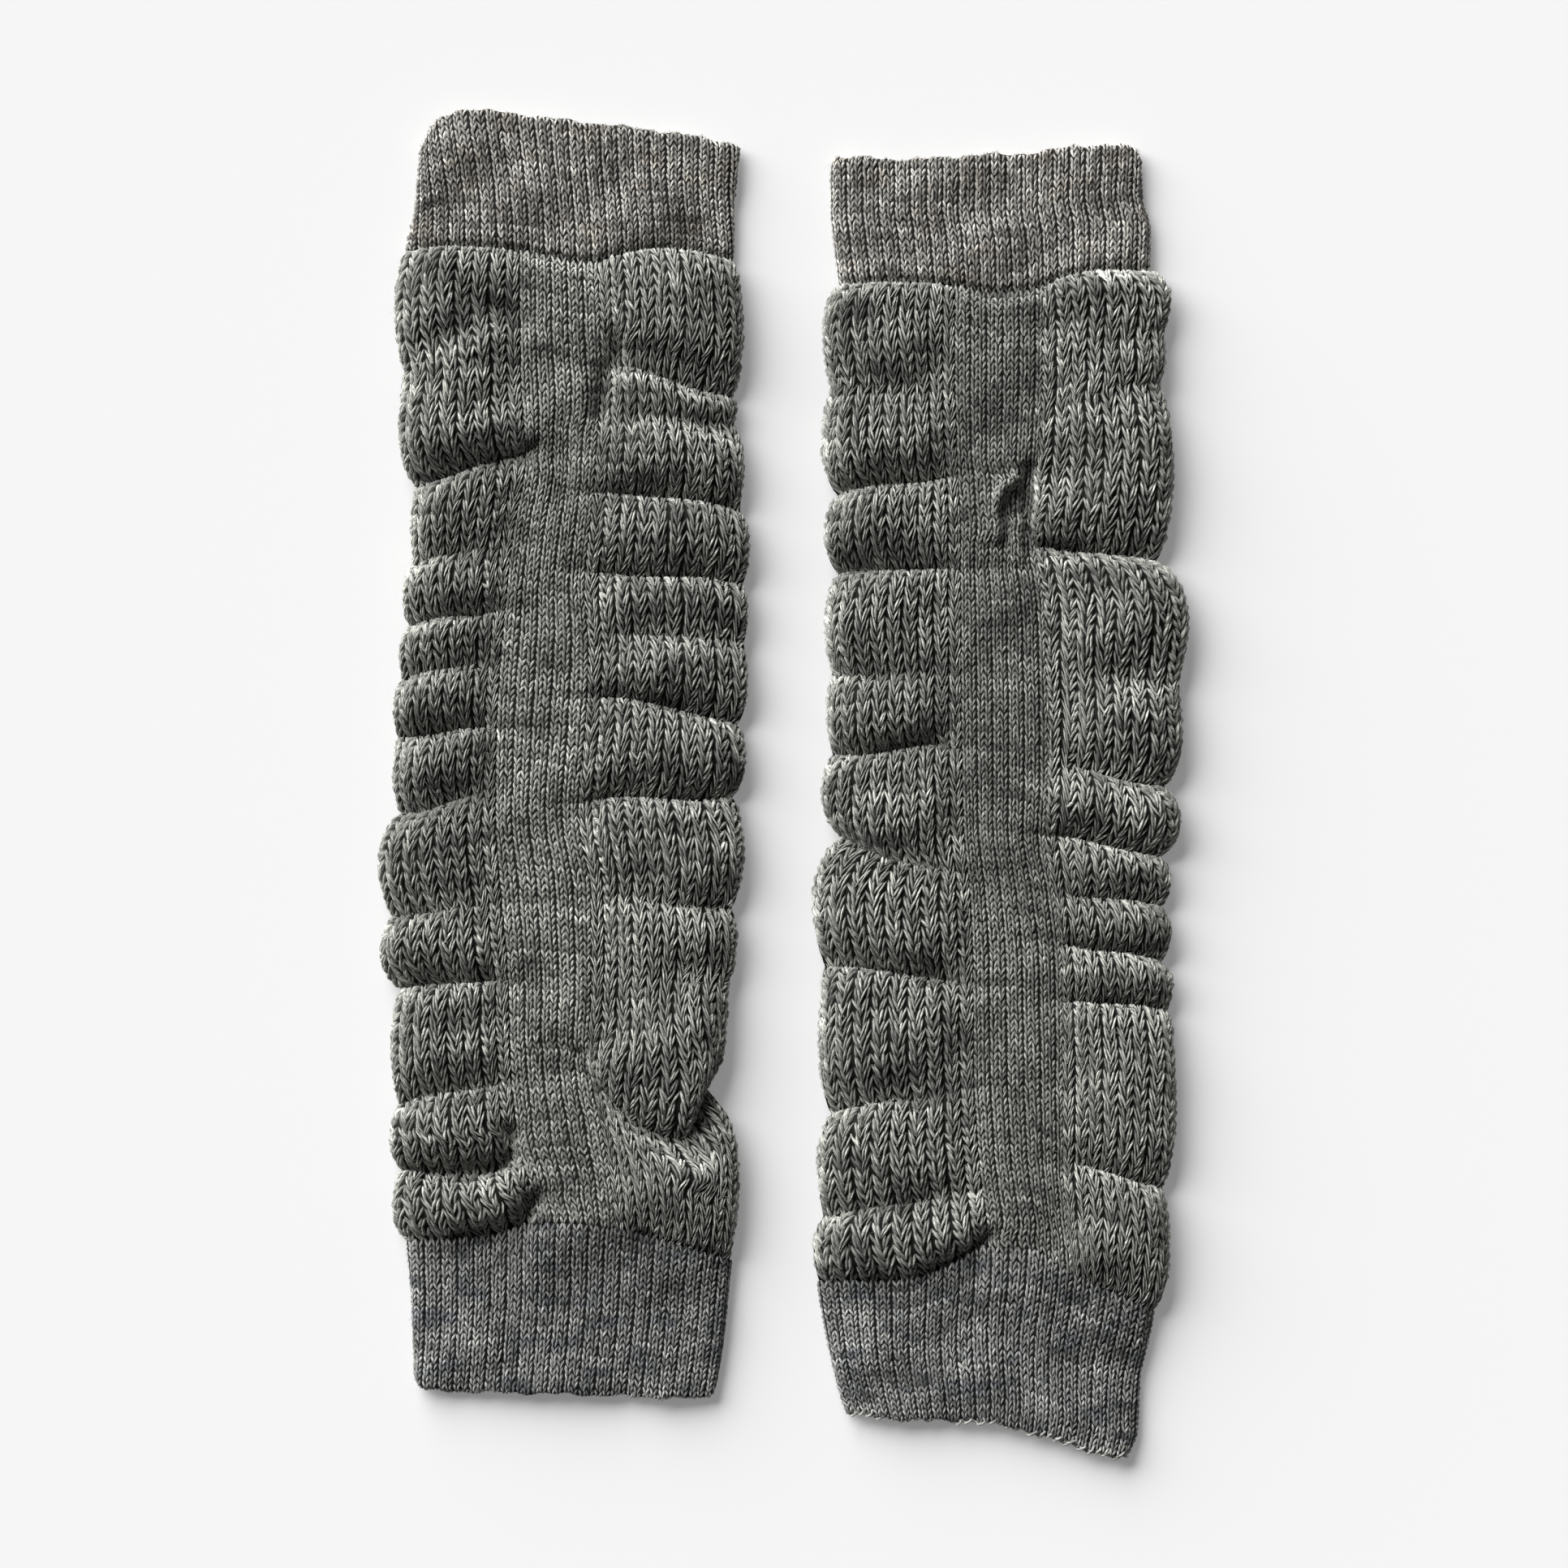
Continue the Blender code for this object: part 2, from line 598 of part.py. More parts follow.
def add_wall(name, grids, wraps, material, collection):
    """Solid wall lofted between the sections of an outer and an inner grid of points.

    A grid that wraps is a tube. Any other has a rim along its first and last column too.
    """
    work = bmesh.new()
    outer, inner = (
        [[work.verts.new((x * MM, y * MM, z * MM)) for x, y, z in row] for row in grid]
        for grid in grids
    )
    rows, columns = len(outer), len(outer[0])
    spans = [(c, (c + 1) % columns) for c in range(columns if wraps else columns - 1)]
    for r in range(rows - 1):
        for c, d in spans:
            work.faces.new((outer[r][c], outer[r][d], outer[r + 1][d], outer[r + 1][c]))
            work.faces.new((inner[r][c], inner[r + 1][c], inner[r + 1][d], inner[r][d]))
        if not wraps:
            work.faces.new((outer[r][0], outer[r + 1][0], inner[r + 1][0], inner[r][0]))
            work.faces.new((outer[r + 1][-1], outer[r][-1], inner[r][-1], inner[r + 1][-1]))
    for c, d in spans:
        work.faces.new((outer[0][d], outer[0][c], inner[0][c], inner[0][d]))
        work.faces.new((outer[-1][c], outer[-1][d], inner[-1][d], inner[-1][c]))
    bmesh.ops.recalc_face_normals(work, faces=work.faces)
    mesh = bpy.data.meshes.new(name)
    work.to_mesh(mesh)
    work.free()
    mesh.shade_smooth()
    mesh.set_sharp_from_angle(angle=math.radians(SHARP_DEGREES))
    mesh.materials.append(material)
    piece = bpy.data.objects.new(name, mesh)
    collection.objects.link(piece)
    return piece


def add_leg(leg, collection):
    """The six pieces of one leg warmer."""
    pieces = [(cuff.name, cuff_wall(leg, cuff), True, "cuff") for cuff in (leg.top, leg.bottom)]
    pieces.append(("front_strip", front_strip_wall(leg), False, "strip"))
    pieces.append(("back_strip", back_strip_wall(leg), False, "strip"))
    for panel in leg.panels:
        pieces.append((panel.name, panel_wall(leg, panel), False, "panel"))
    for piece_name, grids, wraps, kind in pieces:
        name = f"{leg.name}_{piece_name}"
        material = knit_material(f"{name}_knit", KNIT_COLOURS[kind])
        add_wall(name, grids, wraps, material, collection)


def main():
    """Clears the scene and builds both leg warmers."""
    for old in list(bpy.data.objects):
        bpy.data.objects.remove(old, do_unlink=True)
    collection = bpy.data.collections.new("leg_warmers")
    bpy.context.scene.collection.children.link(collection)
    for leg in (LEFT_LEG, RIGHT_LEG):
        add_leg(leg, collection)


main()
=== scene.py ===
"""Pair of knitted leg warmers, laid flat on a pale surface and seen from straight above.

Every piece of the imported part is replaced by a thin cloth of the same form, with its folds, and by
the stitches that lie on it. Tables and sizes are in millimetres: X runs across a leg from its own
axis, Y runs up the leg, and Z is the height over the surface.
"""

from __future__ import annotations

import logging
import math
import sys
from collections.abc import Sequence
from dataclasses import dataclass, field, replace
from enum import Enum
from typing import NamedTuple

import bpy
import numpy as np
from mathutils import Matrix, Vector

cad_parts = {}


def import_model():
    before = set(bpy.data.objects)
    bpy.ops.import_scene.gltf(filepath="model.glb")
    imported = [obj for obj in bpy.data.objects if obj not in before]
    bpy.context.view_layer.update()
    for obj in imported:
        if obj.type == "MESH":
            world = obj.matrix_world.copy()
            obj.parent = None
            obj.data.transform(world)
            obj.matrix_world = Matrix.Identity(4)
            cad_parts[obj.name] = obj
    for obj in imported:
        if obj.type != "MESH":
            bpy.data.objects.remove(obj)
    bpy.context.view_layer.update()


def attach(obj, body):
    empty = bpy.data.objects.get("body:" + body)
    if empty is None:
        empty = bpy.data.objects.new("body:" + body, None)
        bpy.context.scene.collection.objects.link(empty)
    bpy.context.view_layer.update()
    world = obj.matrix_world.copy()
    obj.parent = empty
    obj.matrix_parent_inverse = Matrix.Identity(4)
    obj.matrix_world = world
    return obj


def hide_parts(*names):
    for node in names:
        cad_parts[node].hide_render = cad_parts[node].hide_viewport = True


log = logging.getLogger("leg_warmers")

Array = np.ndarray
Value = float | Array
MM = 0.001


class Side(Enum):
    """Side of a leg's front strip that a panel is on, by its sign in X."""

    LEFT = -1
    RIGHT = 1


class Held(Enum):
    """How a cloth is held."""

    LAID = "laid"
    GATHERED = "gathered"


class Face(Enum):
    """Face of the leg warmer that a strip is on."""

    FRONT = 1
    BACK = -1


class Fold(NamedTuple):
    """One crease of a side panel, and the puff below it.

    It leaves the strip at strip_y and meets the edge of the leg at edge_y. depth is from 0 to 1.
    The edge of the leg reaches crease_reach there and puff_reach on the puff. bend lifts the
    crease most at its peak, a share of the way to the edge. lean pushes the puff's wales to the
    right at its top and to the left lower down. over is the share by which the puff above laps
    over the one below.
    """

    strip_y: float
    edge_y: float
    depth: float
    crease_reach: float
    puff_reach: float
    bend: float = 0.0
    lean: float = 0.0
    peak: float = 0.5
    over: float = 0.0


class StripRow(NamedTuple):
    """One row of a strip: the seams to its left and right."""

    y: float
    left: float
    right: float


class Point(NamedTuple):
    """One point of a seam or hem that crosses the leg."""

    x: float
    y: float


class CuffRow(NamedTuple):
    """One row of a cuff from its seam, 0, to its hem, 1: the edges of the leg."""

    share: float
    left: float
    right: float


class Mark(NamedTuple):
    """A soft trough or ridge along a line of points on the leg, with its half width and height."""

    line: tuple[tuple[float, float], ...]
    width: float
    height: float


class Wave(NamedTuple):
    """One soft wave of the cloth: its size, lengths across and along, and share of the leg's phase."""

    size: float
    across: float
    along: float
    turn: float


def lerp(start: Value, end: Value, share: Value) -> Value:
    """Value a share of the way from start to end."""
    return start + (end - start) * share


def ease(share: Array) -> Array:
    """Soft step from 0 to 1."""
    share = np.clip(share, 0.0, 1.0)
    return share * share * (3 - 2 * share)


def kept_over(height: Array, least: float, softness: float = 1.0) -> Array:
    """Heights that bend softly to stay over the least one."""
    return least + 0.5 * (height - least + np.sqrt((height - least) ** 2 + softness))


def smooth(rows: Sequence[tuple[float, float]], at: Value) -> Array:
    """Values on a smooth curve through rows of (place, value), with no overshoot.

    Args:
        rows: pairs in rising order of place.
        at: places, which are held within the rows.

    Returns:
        The value at each place.
    """
    places, values = np.array(rows, float).T
    at = np.clip(np.asarray(at, float), places[0], places[-1])
    steps = np.diff(places)
    slopes = np.diff(values) / steps
    before, after = slopes[:-1], slopes[1:]
    both = np.where(before + after == 0, 1.0, before + after)
    inner = np.where(before * after > 0, 2 * before * after / both, 0.0)
    tangents = np.concatenate([slopes[:1], inner, slopes[-1:]])
    i = np.clip(np.searchsorted(places, at, side="right") - 1, 0, len(steps) - 1)
    step = steps[i]
    t = (at - places[i]) / step
    return (
        values[i] * (1 + 2 * t) * (1 - t) ** 2
        + tangents[i] * step * t * (1 - t) ** 2
        + values[i + 1] * t * t * (3 - 2 * t)
        + tangents[i + 1] * step * t * t * (t - 1)
    )


def spread(points: Array, widths: Array) -> Array:
    """Points moved along each row of a grid, to steps with these relative widths.

    Args:
        points: grid of points, rows by columns by 3.
        widths: relative width of each step.

    Returns:
        Grid with one column more than there are widths.
    """
    steps = np.linalg.norm(np.diff(points, axis=1), axis=2)
    places = np.concatenate([np.zeros((len(points), 1)), np.cumsum(steps, axis=1)], axis=1)
    wanted = np.concatenate([[0.0], np.cumsum(widths)]) / np.sum(widths)
    return np.array(
        [
            [np.interp(wanted * row_places[-1], row_places, row[:, k]) for k in range(3)]
            for row, row_places in zip(points, places)
        ]
    ).transpose(0, 2, 1)


@dataclass(frozen=True)
class FoldForm:
    """Sizes of the puffs and creases of the side panels.

    A puff rises from its upper crease over upper_flank, at most upper_share of its length, and
    falls to its lower crease over lower_flank. Of each pair the first is for a shallow crease and
    the second for a deep one. shallow and overhang are the angles that the rise starts at. The
    plain_ sizes are those of the puffs of the part, without their creases.
    """

    crease_top: float = 7.3
    least_top: float = 2.2
    puff_rise: float = 0.3
    least_puff: float = 2.6
    most_puff: float = 6.4
    crease_dip: float = 4.9
    fullness: float = 1.0
    upper_flank: tuple[float, float] = (12.0, 5.5)
    lower_flank: float = 15.5
    upper_share: tuple[float, float] = (0.42, 0.26)
    fall: float = 2.5
    crown: float = 0.2
    overhang: float = -44.0
    edge_shift: float = 0.4
    shallow: float = 76.0
    full_at: tuple[float, float] = (0.5, 0.2)
    crown_at: float = 0.8
    crown_start: float = 0.45
    wobble: float = 0.9
    wobble_turn: float = 7.3
    outer_fall: float = 1.4
    over_fall: float = 3.6
    over_fill: float = 0.72
    strip_share: float = 0.2
    strip_crown: float = 0.3
    plain_upper: float = 9.0
    plain_lower: float = 6.0
    plain_upper_share: float = 0.55
    plain_lower_share: float = 0.45
    plain_fullness: float = 0.75
    seam_tight: float = 0.15
    seam_lap: float = 0.35
    seam_reach: float = 1.6
    edge_height: float = 3.1
    edge_lift: float = 0.3
    edge_roundness: float = 4.8
    edge_swell: float = 0.6
    groove: float = 0.3
    groove_steepness: float = 1.8
    ripple: float = 0.42
    flank_rows: int = 14
    level_rows: int = 10
    flat_columns: int = 30
    edge_columns: int = 16
    corner: float = 0.84
    most_length: float = 0.98
    edge_start: float = 0.85
    relief_start: float = 0.12
    stitch_inset: float = 0.7

    def plain_flank(self, share: Array) -> Array:
        """Rise of a puff from its crease, 0, to its full height, 1."""
        return np.sin(np.clip(share, 0.0, 1.0) * math.pi / 2) ** self.plain_fullness


FORM = FoldForm()
SEAM_GAP = 0.1
TYPICAL_WIDTH = 60
TYPICAL_LENGTH = 70
WAVES = (
    Wave(1.0, 4.1, 9.7, 1.0),
    Wave(0.8, -8.3, 3.7, 2.1),
    Wave(0.9, 6.3, -5.9, 3.7),
    Wave(0.7, 2.9, 14.0, 5.3),
)


@dataclass(frozen=True)
class Gauge:
    """Sizes of one knit, in millimetres.

    A stitch is a V of two legs of yarn, one wale wide and one course high. Each leg has one or
    more strands. front_mesh and under_mesh are the points across and along one strand where it
    shows and on the underside. top_place and foot_place are a leg's ends, in wales from the middle
    of its V, and reach is half its length in courses. run is the length in wales of a run of
    lighter or darker yarn, and run_tone, strand_tone and patch_tone are how far the tones of runs,
    strands and soft patches differ. depth_tone is painted shade: the tone of a leg's lowest
    parts, as a share of its top's, as if shade fell there. pairing moves every two wales towards each
    other, which leaves a deeper gap after
    them, drift moves each wale by chance, and jitter each stitch. rib is the height of the thin
    rib that stands on every second wale of the front. fibres is the number of loose fibres for
    each stitch.
    """

    wale: float
    course: float
    leg_width: float
    leg_height: float
    front_mesh: tuple[int, int]
    under_mesh: tuple[int, int]
    run: float
    strands: int = 1
    top_place: float = 0.4
    foot_place: float = 0.11
    reach: float = 0.68
    run_tone: float = 0.26
    strand_tone: float = 0.22
    patch_tone: float = 0.1
    # painted shade of a leg's lowest parts, as a share of its top's tone
    depth_tone: float = 0.6
    pairing: float = 0.0
    drift: float = 0.03
    rib: float = 0.0
    jitter: float = 0.06
    fibres: float = 0.16
    sink_share: float = 0.62
    clearance_share: float = 1.25

    @property
    def sink(self) -> float:
        """Depth of the base cloth below the tops of the stitches."""
        return self.sink_share * self.leg_height

    @property
    def clearance(self) -> float:
        """Height of the base cloth over the surface that its underside rests on."""
        return self.clearance_share * self.leg_height


# Both gauges paint shade on the lowest parts of their strands.
COARSE = Gauge(
    wale=5.0, course=3.3, leg_width=1.6, leg_height=1.15, front_mesh=(4, 5), under_mesh=(3, 4),
    run=1.6, strands=2, top_place=0.38, foot_place=0.075, reach=0.79, jitter=0.05,
    depth_tone=0.5,
)
FINE = Gauge(
    wale=2.5, course=2.05, leg_width=0.9, leg_height=0.62, front_mesh=(3, 4), under_mesh=(3, 3),
    run=2.6, top_place=0.385, foot_place=0.1, run_tone=0.24, strand_tone=0.13, patch_tone=0.16,
    depth_tone=0.76, pairing=0.05, drift=0.015, jitter=0.07, fibres=0.05, rib=0.2,
)
RIBBED = replace(FINE, rib=0.55)


@dataclass(frozen=True)
class FibreForm:
    """Sizes of the fine loose fibres, in millimetres."""

    length: tuple[float, float] = (1.5, 3.6)
    width: float = 0.09
    rise: float = 0.9
    curl: float = 0.22
    tone: tuple[float, float] = (0.9, 1.7)
    steps: int = 4
    margin: float = 0.3
    lift: tuple[float, float] = (0.2, 1.0)
    turn: float = 2.6
    taper: float = 0.7
    least_height: float = 0.05


FIBRES = FibreForm()


@dataclass(frozen=True)
class StitchForm:
    """Shape of one leg of a stitch and how much stitches differ, as shares of the gauge's sizes."""

    taper: tuple[float, float] = (0.07, 0.93)
    bluntness: float = 0.55
    strand_slimming: float = 0.8
    strand_spacing: float = 0.55
    foot_curve: float = 1.1
    cup: float = 0.06
    arch: tuple[float, float] = (0.03, 0.88)
    arch_fullness: float = 0.7
    wall: float = 0.3
    sunk: float = 0.35
    map_length: float = 1.5
    middle: float = 0.265
    most_noise: float = 2.0
    most_drift: float = 1.6
    stretch_noise: float = 0.07
    width_noise: float = 0.08
    lean_noise: float = 0.06
    strand_noise: float = 0.5
    height_noise: float = 0.12
    seam_lowering: float = 0.8
    rib_at: float = 0.75
    rib_sharpness: int = 6
    rib_facing: float = 0.2
    patch_stitches: int = 6
    pale: float = 1.4
    tones: tuple[float, float] = (0.3, 2.0)
    under_facing: float = -0.35
    map_margin: float = 0.06


STITCH = StitchForm()

LEFT_STRIP = (
    StripRow(-150, -8.2, 15.8),
    StripRow(-134, -8.4, 15.6),
    StripRow(-109, -14.4, 12.4),
    StripRow(-84, -16.6, 7.5),
    StripRow(-59, -17.4, 8.6),
    StripRow(-34, -19.5, 8.4),
    StripRow(-9, -21.2, 4.4),
    StripRow(16, -20.9, 6.4),
    StripRow(41, -19.4, 7.6),
    StripRow(61, -17.6, 6.4),
    StripRow(79, -15.4, 8.1),
    StripRow(99, -12.0, 9.9),
    StripRow(129, -13.6, 11.4),
    StripRow(170, -13.9, 10.0),
)
RIGHT_STRIP = (
    StripRow(-165, -3.6, 22.3),
    StripRow(-149, -3.9, 22.1),
    StripRow(-134, -4.6, 20.4),
    StripRow(-116, -6.9, 19.1),
    StripRow(-84, -8.6, 19.1),
    StripRow(-59, -8.7, 18.9),
    StripRow(-34, -9.6, 16.4),
    StripRow(-16, -11.4, 13.6),
    StripRow(4, -12.1, 14.4),
    StripRow(54, -12.5, 13.4),
    StripRow(79, -12.6, 9.9),
    StripRow(91, -13.2, 10.7),
    StripRow(129, -14.4, 12.9),
    StripRow(165, -14.4, 12.9),
)

LEFT_OUTER_FOLDS = (
    Fold(163.4, 163.4, 1.0, 48.9, 52.4, lean=-0.6),
    Fold(129.4, 127.6, 0.15, 49.5, 51.1, lean=-0.5),
    Fold(101.4, 91.4, 1.0, 46.0, 47.4, lean=-1.3),
    Fold(74.1, 66.9, 0.4, 47.1, 50.1, bend=1, lean=-1.3),
    Fold(54.1, 47.9, 0.85, 47.9, 51.1),
    Fold(37.6, 31.4, 0.6, 50.3, 52.9, bend=1),
    Fold(17.4, 13.9, 1.0, 52.0, 52.9, lean=-0.5),
    Fold(-3.1, -9.4, 0.6, 50.5, 57.4, lean=-1.5),
    Fold(-36.1, -40.6, 0.5, 53.1, 56.9, lean=-0.9),
    Fold(-59.9, -63.1, 1.0, 50.6, 53.4),
    Fold(-90.6, -99.1, 0.7, 51.5, 53.9),
    Fold(-116.1, -118.6, 1.0, 50.9, 53.1, bend=-3),
    Fold(-134.9, -140.4, 1.0, 49.1, 49.1, over=1.0),
)
LEFT_INNER_FOLDS = (
    Fold(160.9, 161.1, 1.0, 52.2, 55.4, lean=1.2),
    Fold(128.9, 118.9, 0.75, 51.9, 53.5, lean=-0.5),
    Fold(114.4, 110.4, 0.3, 53.0, 55.6, lean=1.3),
    Fold(89.9, 83.4, 1.0, 55.0, 57.6, bend=1),
    Fold(65.9, 60.9, 1.0, 55.6, 57.1, lean=0.6),
    Fold(47.4, 43.4, 0.5, 56.0, 57.0, lean=0.8),
    Fold(27.1, 18.1, 1.0, 53.9, 56.4, bend=1, lean=-0.3),
    Fold(-5.6, -3.9, 1.0, 52.4, 55.6, lean=-0.6),
    Fold(-34.9, -38.1, 0.5, 52.1, 53.4),
    Fold(-58.1, -57.4, 0.3, 53.0, 50.5, lean=3.0),
    Fold(-88.6, -92.4, 1.0, 43.6, 54.1, bend=-18.5, peak=0.8, over=1.0),
    Fold(-136.6, -146.6, 0.6, 51.8, 51.8, over=0.5),
)
RIGHT_INNER_FOLDS = (
    Fold(153.4, 153.4, 1.0, 49.9, 55.1, lean=-0.9),
    Fold(124.4, 121.4, 0.3, 52.4, 55.4, lean=0.9),
    Fold(95.1, 88.4, 1.0, 50.6, 54.6, lean=0.3),
    Fold(66.6, 64.4, 1.0, 50.4, 54.4, lean=1.0),
    Fold(33.4, 33.9, 0.5, 52.4, 53.9, lean=-0.5),
    Fold(11.4, 8.9, 1.0, 52.6, 55.6, lean=-1.5),
    Fold(-27.4, -16.1, 0.7, 48.4, 58.4, bend=-3, lean=0.4),
    Fold(-61.1, -56.1, 1.0, 55.1, 56.4, lean=0.3),
    Fold(-92.6, -101.6, 0.6, 52.6, 56.9),
    Fold(-124.1, -133.6, 0.6, 55.1, 58.4),
    Fold(-142.4, -152.9, 1.0, 56.6, 56.6, over=1.0),
)
RIGHT_OUTER_FOLDS = (
    Fold(153.4, 157.9, 1.0, 46.4, 53.1, lean=1.8),
    Fold(129.4, 139.4, 0.2, 51.0, 51.5, lean=-0.4),
    Fold(116.9, 123.4, 0.15, 49.6, 53.6, lean=2.0),
    Fold(73.1, 68.1, 1.0, 48.6, 58.4),
    Fold(35.9, 31.4, 0.35, 55.5, 56.6),
    Fold(5.6, -0.6, 0.55, 50.4, 55.9, lean=0.5),
    Fold(-15.4, -22.6, 1.0, 49.9, 53.1, lean=0.5),
    Fold(-33.1, -37.9, 0.7, 49.6, 53.1, lean=-0.5),
    Fold(-48.1, -55.4, 1.0, 49.9, 53.6, lean=-0.5),
    Fold(-65.9, -69.9, 1.0, 52.4, 54.4),
    Fold(-116.1, -124.1, 0.7, 50.4, 52.4, lean=2.4),
    Fold(-151.4, -162.0, 0.5, 47.4, 47.4, over=0.5),
)


@dataclass(frozen=True)
class CuffForm:
    """Seam, edges and hem of one cuff."""

    name: str
    seam: tuple[Point, ...]
    rows: tuple[CuffRow, ...]
    hem: tuple[Point, ...]
    up: int
    top: float = 5.0
    roundness: float = 16.0
    hem_curl: float = 1.05
    hem_inside: tuple[float, ...] = (1.5, 3.5, 6.0, 8.5)
    seam_dip: float = 1.6
    seam_dip_length: float = 3.5
    seam_rise: tuple[Point, ...] = (Point(-60.0, 0.0), Point(60.0, 0.0))
    rise_length: float = 26.0
    hem_wave: float = 0.3
    short_length: float = 1.3
    long_length: float = 3.1
    long_share: float = 1.2
    ripple: float = 0.34
    corner: float = 0.9
    flat_columns: int = 40
    edge_columns: int = 14
    rows_along: int = 90
    curl_rows: int = 10
    inset: float = 0.8
    pale_course: int | None = None

    def seam_y(self, x: Array) -> Array:
        """Y of the seam at places across the leg."""
        return smooth(self.seam, x)

    def hem_y(self, x: Array, phase: float) -> Array:
        """Y of the wavy edge of the hem.

        Args:
            x: places across the leg.
            phase: phase of the leg's waves.

        Returns:
            Y at each place.
        """
        long_wave = self.long_share * np.sin(x / self.long_length + 3 * phase)
        wave = np.sin(x / self.short_length + phase) + long_wave
        return smooth(self.hem, x) + self.hem_wave * wave


LEFT_TOP = CuffForm(
    name="top_cuff",
    seam=(
        Point(-48.9, 163.9), Point(-33.9, 165.1), Point(-13.9, 163.9), Point(6.1, 160.2),
        Point(16.1, 162.4), Point(28.6, 164.6), Point(41.1, 163.4), Point(52.4, 160.9),
    ),
    rows=(CuffRow(0.0, -48.9, 52.2), CuffRow(0.5, -46.1, 52.2), CuffRow(1.0, -44.9, 54.1)),
    hem=(
        Point(-44.9, 194.9), Point(-41.9, 200.4), Point(-37.6, 205.4), Point(-30.1, 207.8),
        Point(-18.9, 206.8), Point(1.1, 204.4), Point(26.1, 201.4), Point(43.6, 198.9),
        Point(54.1, 196.4),
    ),
    up=1,
)
LEFT_BOTTOM = CuffForm(
    name="bottom_cuff",
    seam=(
        Point(-49.1, -140.4), Point(-23.9, -139.1), Point(-10.1, -134.9), Point(2.4, -134.6),
        Point(16.1, -136.6), Point(51.9, -146.6),
    ),
    rows=(
        CuffRow(0.0, -49.1, 51.8), CuffRow(0.4, -47.6, 50.1), CuffRow(0.75, -46.9, 48.4),
        CuffRow(1.0, -46.4, 46.6),
    ),
    hem=(
        Point(-46.4, -181.6), Point(-44.9, -185.2), Point(-41.4, -186.6), Point(-33.9, -186.9),
        Point(1.1, -187.9), Point(42.1, -189.1), Point(45.6, -187.4), Point(46.6, -184.0),
    ),
    up=-1,
    seam_dip=0.0,
    seam_rise=(
        Point(-50.0, 0.0), Point(-14.0, 0.2), Point(-6.0, 2.9), Point(16.0, 3.2), Point(50.0, 1.6),
    ),
)
RIGHT_TOP = CuffForm(
    name="top_cuff",
    seam=(
        Point(-49.9, 153.4), Point(-32.9, 154.1), Point(-15.1, 153.4), Point(-2.9, 150.9),
        Point(8.9, 151.6), Point(17.1, 154.9), Point(27.1, 157.4), Point(46.4, 157.9),
    ),
    rows=(
        CuffRow(0.0, -49.9, 46.4), CuffRow(0.35, -51.4, 46.4), CuffRow(0.65, -52.4, 43.9),
        CuffRow(1.0, -52.4, 43.4),
    ),
    hem=(
        Point(-52.4, 191.4), Point(-50.4, 193.1), Point(-42.9, 192.9), Point(-27.9, 192.4),
        Point(-7.9, 193.6), Point(12.1, 194.6), Point(24.6, 196.6), Point(37.1, 196.6),
        Point(42.1, 195.4), Point(43.4, 192.6),
    ),
    up=1,
)
RIGHT_BOTTOM = CuffForm(
    name="bottom_cuff",
    seam=(
        Point(-56.6, -152.9), Point(-31.1, -152.6), Point(-15.1, -147.4), Point(-3.9, -141.9),
        Point(9.1, -142.4), Point(21.6, -149.9), Point(34.6, -156.1), Point(47.6, -162.1),
    ),
    rows=(
        CuffRow(0.0, -56.6, 47.4), CuffRow(0.2, -55.4, 45.9), CuffRow(0.5, -53.1, 43.1),
        CuffRow(0.85, -49.9, 42.4), CuffRow(1.0, -47.9, 40.4),
    ),
    hem=(
        Point(-47.9, -193.6), Point(-42.9, -194.4), Point(-25.4, -195.6), Point(-10.4, -196.1),
        Point(2.1, -197.4), Point(14.6, -201.1), Point(27.1, -204.9), Point(37.6, -207.4),
        Point(40.4, -206.1),
    ),
    up=-1,
    pale_course=5,
    seam_dip=0.0,
    seam_rise=(
        Point(-57.0, 0.0), Point(-8.0, 0.2), Point(-1.0, 3.0), Point(22.0, 3.2), Point(48.0, 1.6),
    ),
)

LEFT_MARKS = (
    Mark(((-13.0, 142.5), (-20.0, 146.0), (-30.0, 149.0)), 3.8, -1.9),
    Mark(((-43.0, 136.5), (-32.0, 139.5)), 3.0, -1.2),
    Mark(((-46.0, 127.0), (-34.0, 130.0), (-20.0, 138.5)), 3.0, 1.6),
    Mark(((-9.2, 103.8), (-14.0, 100.5), (-22.0, 98.0)), 2.2, -3.0),
    Mark(((-0.5, 114.0), (-0.5, 90.0)), 4.0, -1.5),
    Mark(((18.0, 133.0), (30.0, 132.5), (42.0, 128.5)), 3.6, -2.2),
    Mark(((15.0, 137.0), (14.5, 129.5), (12.0, 122.0), (11.0, 113.0)), 3.7, -3.4),
    Mark(((22.0, 124.5), (33.0, 121.5), (45.0, 116.0)), 3.4, 0.8),
    Mark(((22.0, 112.5), (44.0, 111.0)), 2.5, -1.0),
    Mark(((22.0, -138.2), (36.0, -141.8), (50.0, -146.0)), 1.7, -2.6),
    Mark(((-46.0, 107.0), (-14.0, 111.0)), 6.0, 1.8),
    Mark(((5.0, -82.5), (10.5, -94.0)), 1.8, -2.4),
    Mark(((45.0, -99.0), (49.0, -93.0)), 3.2, -3.0),
    Mark(((-42.0, -120.3), (-31.0, -119.5), (-20.8, -117.4), (-15.8, -114.0), (-16.5, -107.0)), 2.6, -4.2),
    Mark(((-31.0, -139.0), (-18.9, -136.9), (-12.2, -133.2), (-8.8, -127.0)), 2.8, -4.6),
)
